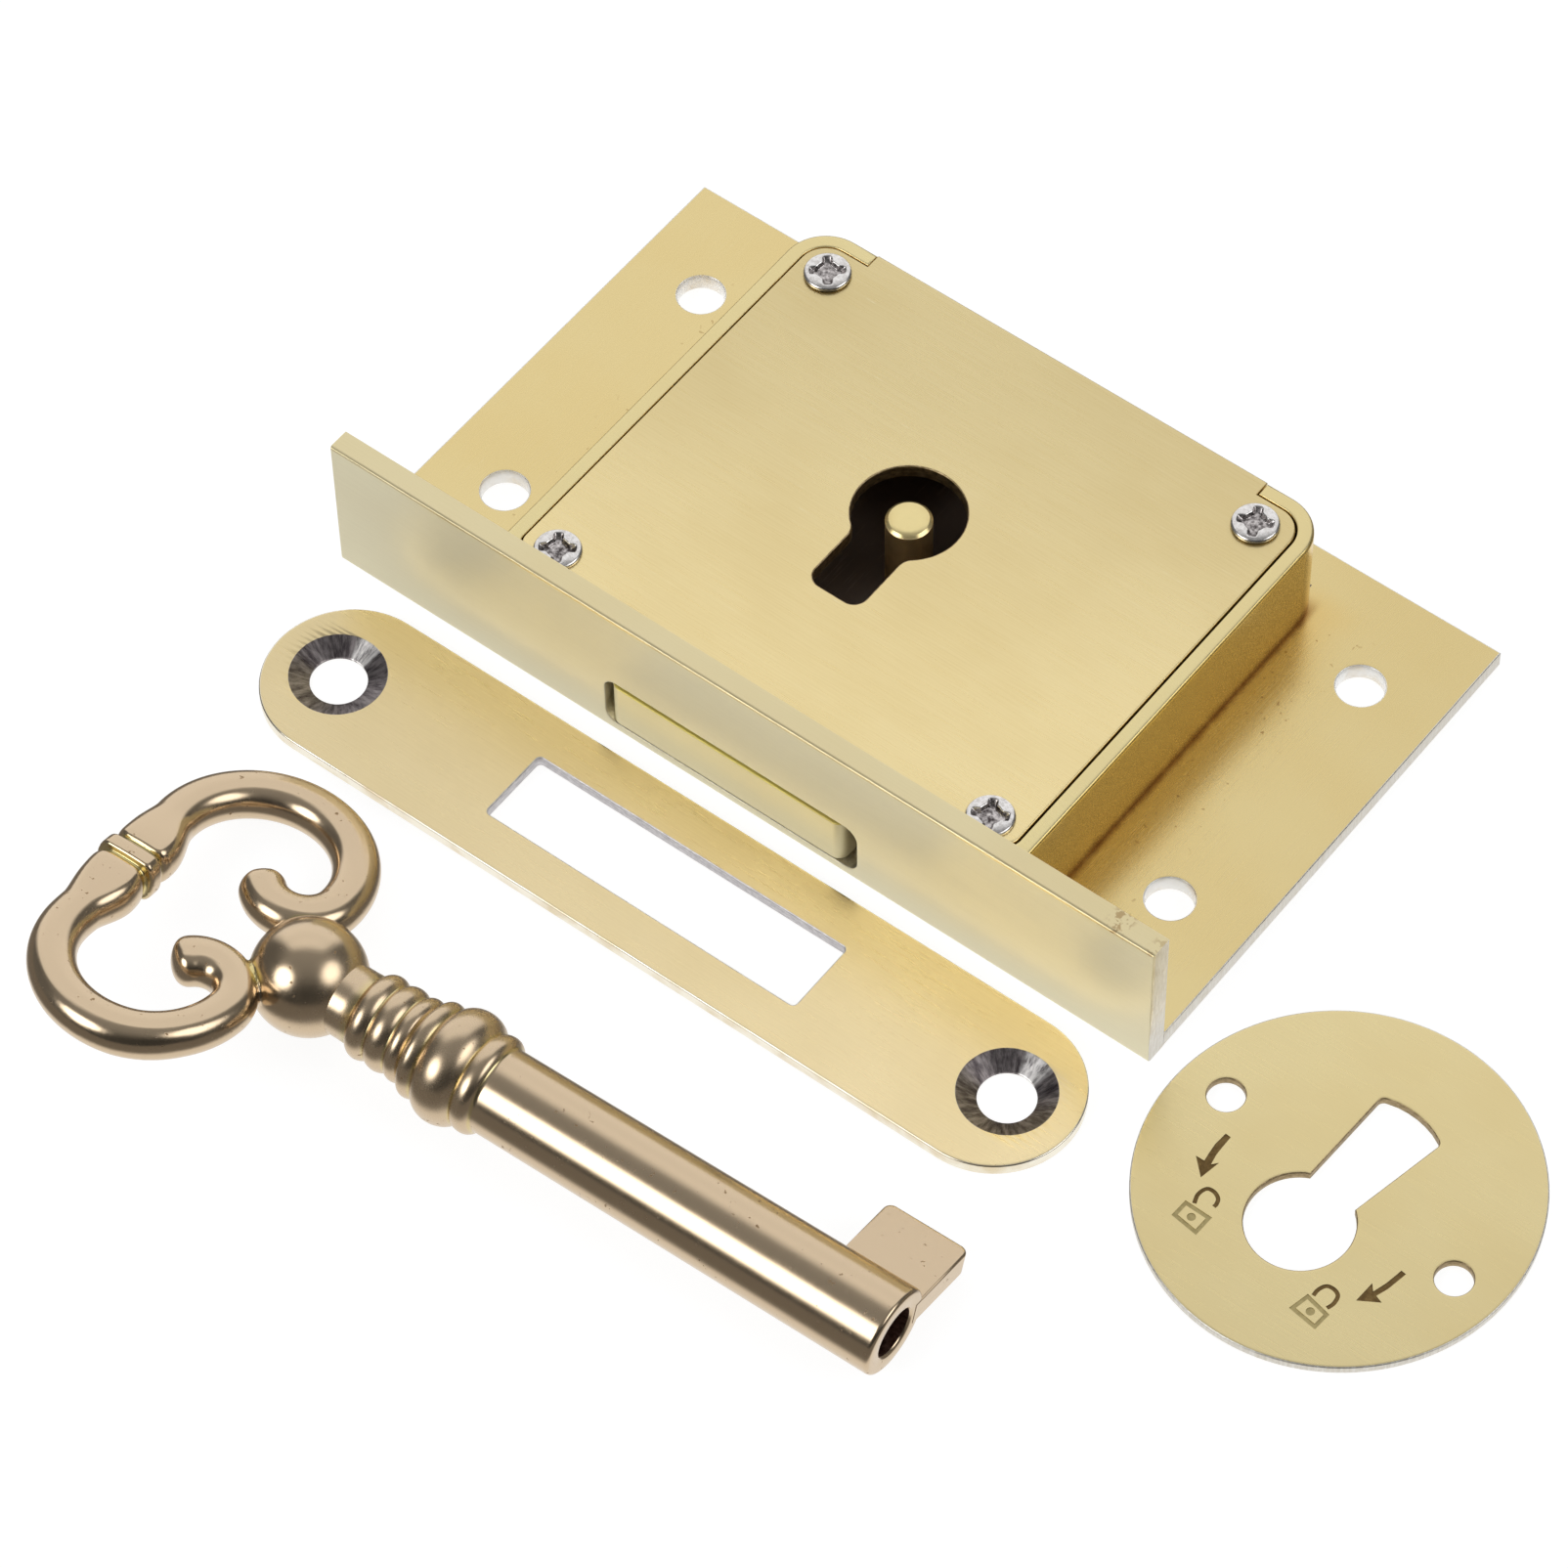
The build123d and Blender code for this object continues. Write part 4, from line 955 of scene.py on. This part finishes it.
def escutcheon():
    """Thin disc with a keyhole, two pin holes and etched signs for open and shut."""
    line = arc(0, BOWL_Y, BOWL_R, 180 - BOWL_TURN, 360 + BOWL_TURN, 56)
    line += arc(3.05, 9.55, 0.72, -4, 72, 5)
    line += [(2.2, 10.62), (1.1, 10.83), (0, 10.9), (-1.1, 10.83), (-2.2, 10.62)]
    line += arc(-3.05, 9.55, 0.72, 108, 184, 5)
    rim = circle(0, 0, DISC_R, 144)
    outlines = [Outline(rim, 0.12, 0.08, finish=1), Outline(hole(line), 0.1, 0.06, finish=4)]
    for x in (-DISC_HOLE_X, DISC_HOLE_X):
        outlines.append(Outline(hole(circle(x, 0, DISC_HOLE_R, 48)), 0.08, 0.06, finish=4))
    arrows = [
        [(-10.88, -7.1), (-12.66, -5.42), (-11.71, -5.38), (-11.86, -4.35), (-11.97, -3.22), (-11.86, -1.71),
         (-11.24, -1.75), (-11.23, -3.11), (-11.19, -4.14), (-10.96, -5.34), (-10.45, -4.73)],
        [(8.46, -9.35), (8.58, -6.88), (9.17, -7.58), (9.61, -6.13), (9.87, -4.69), (9.95, -4.12),
         (10.52, -4.2), (10.29, -5.52), (10.11, -6.51), (9.67, -7.8), (10.5, -8.09)],
    ]
    signs = [([way_round([turned(p) for p in sign], False)], SIGN_DEPTH, 3) for sign in arrows]
    locks = [
        ([(-10.54, -10.02), (-7.44, -10.07), (-7.53, -12.54), (-10.64, -12.13)],
         [(-9.69, -9.8), (-9.99, -8.77), (-9.7, -7.79), (-8.92, -7.65), (-8.22, -8.02), (-7.99, -8.6),
          (-8.01, -9.0)]),
        ([(4.49, -11.46), (7.39, -12.1), (7.23, -14.22), (3.97, -13.76)],
         [(5.0, -11.3), (5.0, -10.5), (5.4, -9.72), (6.19, -9.6), (6.84, -9.96), (7.01, -10.88),
          (6.79, -11.65)]),
    ]
    for body, shackle in locks:
        signs += padlock([turned(p) for p in body], curve_through([turned(p) for p in shackle], 6))
    metal = plate(outlines, 0, DISC_THICK, signs)
    turn = Matrix.Rotation(math.radians(DISC_TURN), 4, "Z")
    metal.place(Matrix.Translation((DISC_X, DISC_Y, 0)) @ Matrix.Diagonal((*DISC_SHAPE, 1, 1)) @ turn)
    metal.piece("escutcheon_brass", "escutcheon_body", "satin_brass",
                [disc_finish, edge_finish, body_finish, sign_finish, hole_shade_finish], ["escutcheon"])


def bow_section(width, thick, side):
    """Nearly flat top and bottom that roll into round sides, as pairs across and up."""
    half, flat, crown = thick / 2, width / 2 - side, 0.06
    turns = [math.pi * (i / 16 - 0.5) for i in range(17)]
    right = [(flat + side * math.cos(a), (half - crown) * math.sin(a)) for a in turns]
    top = [(flat * k, half - crown * k * k) for k in (0.75, 0.5, 0.25, 0, -0.25, -0.5, -0.75)]
    left = [(-x, y) for x, y in reversed(right)]
    return right + top + left + [(-x, -y) for x, y in top]


def sweep(stations, flipped=False):
    """Closed tube through sections, each with its place, its direction across and its outline."""
    metal = Metal()
    up = Vector((0, 0, 1))
    rings = [metal.ring([Vector(place) + Vector(across) * u + up * v for u, v in outline])
             for place, across, outline in stations]
    metal.walls(rings)
    metal.faces += [tuple(reversed(rings[0])), tuple(rings[-1])]
    metal.finish += [0, 0]
    if flipped:
        metal.faces = [tuple(reversed(face)) for face in metal.faces]
    return metal


def scroll(mirror):
    """Half of the bow: flared end at the binding, large arc, inner curl and round tip."""
    side = -1 if mirror else 1
    x0, y0, radius = SCROLL
    start = math.radians(SCROLL_START)
    arc_start = Vector((x0 + radius * math.cos(start), y0 + radius * math.sin(start)))
    stations = []

    def station(x, y, angle, width=BOW_WIDTH, thick=BOW_THICK, round_side=BOW_SIDE, share=(1.0, 1.0)):
        """Adds a section of the bow, drawn in by a share across and a share up."""
        across = (math.cos(angle), side * math.sin(angle), 0)
        outline = [(u * share[0], v * share[1]) for u, v in bow_section(width, thick, round_side)]
        stations.append(((x, side * y, 0), across, outline))

    ends = ((1.45, 0.70, 0.80), (1.5, 0.80, 0.90), (1.65, 0.89, 0.96), (1.9, 0.95, 0.99), (2.3, 0.99, 1.0),
            (FLARE_LENGTH, 1.0, 1.0))
    for y, wide, high in ends:
        station(BINDING_X, y, math.pi, FLARE_WIDTH, FLARE_THICK, FLARE_SIDE, (wide, high))
    for i in range(1, 15):
        t = i / 15
        ease, narrow = eased(t), eased(t ** 1.25)
        x = BINDING_X + (arc_start.x - BINDING_X) * ease
        y = FLARE_LENGTH + (arc_start.y - FLARE_LENGTH) * t
        station(x, y, math.pi + (start - math.pi) * t, FLARE_WIDTH + (BOW_WIDTH - FLARE_WIDTH) * narrow,
                FLARE_THICK + (BOW_THICK - FLARE_THICK) * ease, FLARE_SIDE + (BOW_SIDE - FLARE_SIDE) * t)
    for i in range(61):
        angle = start * (1 - i / 60)
        station(x0 + radius * math.cos(angle), y0 + radius * math.sin(angle), angle)
    cx, cy, curl_r = CURL
    end = -math.radians(CURL_TURN)
    for i in range(1, 31):
        angle = end * i / 30
        station(cx + curl_r * math.cos(angle), cy + curl_r * math.sin(angle), angle)
    tip = Vector((cx + curl_r * math.cos(end), cy + curl_r * math.sin(end)))
    for t in (0.15, 0.3, 0.45, 0.58, 0.70, 0.80, 0.88, 0.94, 0.975, 0.995):
        x, y = tip + Vector((math.sin(end), -math.cos(end))) * TIP_REACH * t
        station(x, y, end, share=((1 - t ** 2.2) ** 0.5, (1 - t ** 3.5) ** 0.5))
    return sweep(stations, flipped=not mirror)


def binding():
    """Ridge between two grooves, across the two flared ends."""
    def bar(reach, width, thick, edge):
        """Bar to both sides of the binding, drawn in at its ends by a share."""
        stations = []
        for y, share in ((-reach, 1 - edge), (-reach + 0.2, 1.0), (reach - 0.2, 1.0), (reach, 1 - edge)):
            outline = [(u * share, v * share) for u, v in bow_section(width, thick, 1.3)]
            stations.append(((BINDING_X, y, 0), (1, 0, 0), outline))
        return sweep(stations, flipped=True)

    return bar(1.9, 5.3, 3.6, 0.0).join(bar(0.85, 6.9, 5.0, 0.07))


def sphere(radius, rows, steps):
    """Ball round the origin."""
    turns = [math.pi * (i + 0.5) / rows for i in range(rows)]
    profile = [(radius * math.sin(a), -radius * math.cos(a)) for a in turns]
    return lathe(profile, steps, start=-radius, end=radius)


def weld(side):
    """Web of metal where a scroll meets the ball."""
    angle = math.atan2(CURL[1] * side, CURL[0])
    metal = sphere(1, 24, 32).place(Matrix.Diagonal((1.1, 1.7, 1.8, 1)))
    place = Vector((math.cos(angle), math.sin(angle), 0)) * (BALL_R - 0.15)
    return metal.place(Matrix.Translation(place) @ Matrix.Rotation(angle, 4, "Z"))


def shank():
    """Neck with its rings, barrel with its bore, turned about the key's length."""
    steps, bore_end = 128, KEY_LENGTH - BORE_DEPTH
    profile = [(0.2, 2.0), (3.7, 2.0), (3.7, 4.0), (3.7, 6.0), (3.75, 7.25)]
    for i, crest in enumerate(RING_CREST_R):
        x0, x1 = RING_EDGES[i], RING_EDGES[i + 1]
        low0, low1 = RING_VALLEY_R[i], RING_VALLEY_R[i + 1]
        for k in range(15):
            t = -1 + 2 * (k + 0.5) / 15
            base = low0 + (low1 - low0) * (t + 1) / 2
            profile.append((base + (crest - base) * (1 - t * t) ** 0.62, x0 + (x1 - x0) * (t + 1) / 2))
    profile += [(4.52, RING_EDGES[-1] + 0.05), (BARREL_NECK_R, RING_EDGES[-1] + 0.35)]
    swell = (BARREL_TIP_R - BARREL_NECK_R) / 8
    profile += [(BARREL_NECK_R + swell * k, 23 + 44.5 * k / 8) for k in range(1, 9)]
    profile += [(BARREL_TIP_R - x, KEY_LENGTH - z) for x, z in round_edge(0.45, 5)[1:]]
    mouth = (BORE_R, KEY_LENGTH - 0.25)
    profile += [(BORE_R + 0.30, KEY_LENGTH), (BORE_R + 0.12, KEY_LENGTH - 0.06), mouth]
    # The bore's wall takes the key's second finish, painted shade.
    metal = lathe(profile, steps).join(lathe([mouth, (BORE_R, bore_end)], steps, 1, end=bore_end))
    return metal.place(Matrix.Rotation(math.radians(90), 4, "Y"))


def bit():
    """Flat bit, with round corners at its end."""
    x0, x1, reach = KEY_LENGTH - BIT_WIDTH - 0.4, KEY_LENGTH + 0.05, BIT_REACH + 0.3
    line = [(x0, 3.2), (x1, 3.2)] + arc(x1 - BIT_R, reach - BIT_R, BIT_R, 0, 90, 8)
    line += arc(x0 + BIT_R, reach - BIT_R, BIT_R, 90, 180, 8)
    return plate([Outline(line, 0.28, 0.28)], -BIT_THICK / 2, BIT_THICK / 2, steps=4)


def melted(metal):
    """The overlapping pieces of a casting as one skin, with soft joints."""
    step = SKIN_STEP
    body = bpy.data.objects.new("casting", metal.mesh("casting"))
    bpy.context.scene.collection.objects.link(body)
    remesh = body.modifiers.new("skin", "REMESH")
    remesh.mode, remesh.voxel_size, remesh.adaptivity = "VOXEL", step * MM, 0.0
    soften = body.modifiers.new("soften", "SMOOTH")
    soften.factor, soften.iterations = 0.5, SKIN_SOFTENING
    ready = body.evaluated_get(bpy.context.evaluated_depsgraph_get()).to_mesh()
    made = Metal()
    made.points = [v.co / MM for v in ready.vertices]
    made.faces = [tuple(p.vertices) for p in ready.polygons]
    made.finish = [0] * len(made.faces)
    bpy.data.objects.remove(body)
    return made


def hollow_share(point):
    """1 in the binding's grooves and where the scrolls meet the ball, and less between the neck's rings."""
    x, y = abs(point.x - BINDING_X), abs(point.y)
    if x < 3.8 and y < 3:
        return clamp(1.35 - abs(y - 1.18) / 0.42)
    if 7.0 < point.x < 22.6:
        for edge, low in zip(RING_EDGES, RING_VALLEY_R):
            if abs(point.x - edge) < 0.6:
                return max(0.0, min(0.6, 1.2 - (math.hypot(point.y, point.z) - low) / 0.3))
    angle = math.atan2(CURL[1], CURL[0])
    across = abs(point.x * math.sin(angle) - y * math.cos(angle))
    if point.x < 0 and y > 1:
        near = clamp(2.2 - across / 1.1) * clamp(3.4 - abs(point.z) / 0.8)
        return near * clamp(1 - abs(point.length - BALL_R - 0.1) / 0.8)
    return 0.0


def leaned(point):
    """The near scroll is cast a little nearer to the ball than the far one."""
    if point.y < 0 and point.x < 0:
        share, left = eased(clamp((-point.y - 0.5) / 9.0)), clamp((-3.0 - point.x) / 6.0)
        return point + Vector(((0.35 + 0.60 * left) * share, -0.05 * share, 0))
    return point


def key():
    """Key in one casting, on its largest ring, its tip and one side of its bow."""
    metal = scroll(False).join(scroll(True)).join(binding()).join(weld(1)).join(weld(-1))
    metal.points = [leaned(Vector(point)) for point in metal.points]
    metal.join(sphere(BALL_R, 48, 96).place(Matrix.Translation(BALL_SHIFT)))
    metal = melted(metal).join(shank()).join(bit())
    hollows = [hollow_share(point) for point in metal.points]
    crest_x = (RING_EDGES[4] + RING_EDGES[5]) / 2
    pitch = math.atan2(max(RING_CREST_R) - BARREL_TIP_R, KEY_LENGTH - crest_x)
    bow_height = max(RING_CREST_R) + (crest_x - SCROLL[0]) * math.tan(pitch)
    roll = math.asin((bow_height - BOW_THICK / 2) / (SCROLL[1] + SCROLL[2]))
    turn = Matrix.Rotation(math.radians(KEY_TURN), 4, "Z") @ Matrix.Rotation(pitch, 4, "Y")
    metal.place(turn @ Matrix.Rotation(-roll, 4, "X"))
    lowest = min(p.z for p in metal.points)
    metal.place(Matrix.Translation((KEY_X, KEY_Y, -lowest)))
    made = metal.piece("key_gold", "key_body", "polished_gold", [key_finish, bore_shade_finish], ["key"], 50)
    made.data.attributes.new("hollow", "FLOAT", "POINT").data.foreach_set("value", hollows)


back_plate()
case_wall()
cover()
cover_screws()
drill_pin()
bolt()
lever_spring()
strike_plate()
escutcheon()
key()

# Solids that keep their own mesh
works = ["bolt_stump", "bolt_guide_post_left", "bolt_guide_post_right", "lever", "lever_pivot"]
works += ["frame_rivet_" + place for place in ("front_left", "front_right", "rear_left", "rear_right")]
for name in works:
    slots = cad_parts[name].data.materials
    slots.clear()
    slots.append(works_finish)


# Table, light and camera
def table():
    """White table that shows the part's soft shadow."""
    made = bpy.data.meshes.new("table")
    reach, height = 3.0, -0.2 * MM
    corners = [(x * reach, y * reach, height) for x, y in ((-1, -1), (1, -1), (1, 1), (-1, 1))]
    made.from_pydata(corners, [], [(0, 1, 2, 3)])
    top = bpy.data.objects.new("table", made)
    bpy.context.scene.collection.objects.link(top)
    material, tree = finish("white_table")
    gloss = tree.node("ShaderNodeLightPath", out="Is Glossy Ray")
    facing = tree.node("ShaderNodeLayerWeight", None, {"Blend": 0.5}, "Facing")
    steep = 0.94 - facing.between(0.20, 0.44) * 0.76
    paper = tree.node("ShaderNodeBsdfDiffuse", None, {"Color": (0.22, 0.22, 0.22)})
    glow = tree.node("ShaderNodeEmission", None, {"Color": (1, 1, 1), "Strength": 0.90})
    white = tree.node("ShaderNodeAddShader", None, {0: paper, 1: glow})
    shade = tree.mix(facing.between(0.25, 0.60), (1.0, 0.99, 0.97), (1.0, 0.92, 0.84))
    mirror = tree.node("ShaderNodeEmission", None, {"Color": shade, "Strength": steep})
    shader = tree.node("ShaderNodeMixShader", None, {0: gloss, 1: white, 2: mirror})
    tree.node("ShaderNodeOutputMaterial", None, {"Surface": shader})
    made.materials.append(material)


def light_room():
    """Dim grey room with three soft light panels. Camera rays see it white."""
    world = bpy.data.worlds.new("studio")
    bpy.context.scene.world = world
    tree = Tree(world)
    way = tree.node("ShaderNodeTexCoord", out="Generated")

    def inside(value, size, soft):
        """1 within a size and 0 outside it, with an edge that is soft by a share of the size."""
        return 1 - value.between(size * (1 - soft), size * (1 + soft))

    def panel(azimuth, elevation, half_wide, half_high, soft_wide, soft_high=None):
        """Share of a light panel that stands in a direction: a box, or an ellipse without soft_high."""
        a, e = math.radians(azimuth), math.radians(elevation)
        centre = (math.sin(a) * math.cos(e), math.cos(a) * math.cos(e), math.sin(e))
        right = (math.cos(a), -math.sin(a), 0)
        up = (-math.sin(a) * math.sin(e), -math.cos(a) * math.sin(e), math.cos(e))
        ahead = tree.vector("DOT_PRODUCT", way, centre, 1)
        wide = (tree.vector("DOT_PRODUCT", way, right, 1) / ahead).size()
        high = (tree.vector("DOT_PRODUCT", way, up, 1) / ahead).size()
        w, h = math.tan(math.radians(half_wide)), math.tan(math.radians(half_high))
        if soft_high is None:
            wide, high = wide / w, high / h
            lit = 1 - (wide * wide + high * high).between((1 - soft_wide) ** 2, (1 + soft_wide) ** 2)
        else:
            lit = inside(wide, w, soft_wide) * inside(high, h, soft_high)
        return lit * (ahead > 0.02)

    broad = panel(-36, 16, 40, 53, 0.25, 0.35)
    right_light = panel(74, 38, 19, 15, 0.45)
    left_light = panel(-158, 35, 15, 15, 0.6)
    x, y, z = tree.parts(way)
    front = (x * 0.6 - y * 0.8).between(-0.3, 0.9)
    room = 0.13 - front * 0.09 + z.between(0.45, 1.0) * 0.18
    light = room + broad * (0.725 + (1 - z.between(0.35, 0.75)) * 0.15)
    light = light + right_light * 2.2 + left_light * 3.9
    seen = tree.node("ShaderNodeLightPath", out="Is Camera Ray")
    strength = light + seen * (1.0 - light)
    back = tree.node("ShaderNodeBackground", None, {"Color": (1, 1, 1), "Strength": strength})
    tree.node("ShaderNodeOutputWorld", None, {"Surface": back})
    world.cycles.sampling_method = "MANUAL"
    world.cycles.sample_map_resolution = 1024


def camera():
    """Camera at the photograph's place, aimed at the middle of the picture and rolled a little."""
    data = bpy.data.cameras.new("view")
    data.lens, data.sensor_width = 160.33, 36.0
    data.clip_start, data.clip_end = 0.01, 10.0
    made = bpy.data.objects.new("view", data)
    bpy.context.scene.collection.objects.link(made)
    place, aim = Vector((251.15, -337.40, 556.64)) * MM, Vector((2.43, -26.64, 0)) * MM
    ahead = (aim - place).normalized()
    right = ahead.cross(Vector((0, 0, 1))).normalized()
    up = right.cross(ahead)
    roll = math.radians(-1.182)
    right, up = right * math.cos(roll) + up * math.sin(roll), up * math.cos(roll) - right * math.sin(roll)
    turn = Matrix((right, up, -ahead)).transposed().to_4x4()
    made.matrix_world = Matrix.Translation(place) @ turn
    bpy.context.scene.camera = made


table()
light_room()
camera()
bpy.context.scene.view_settings.view_transform = "Standard"
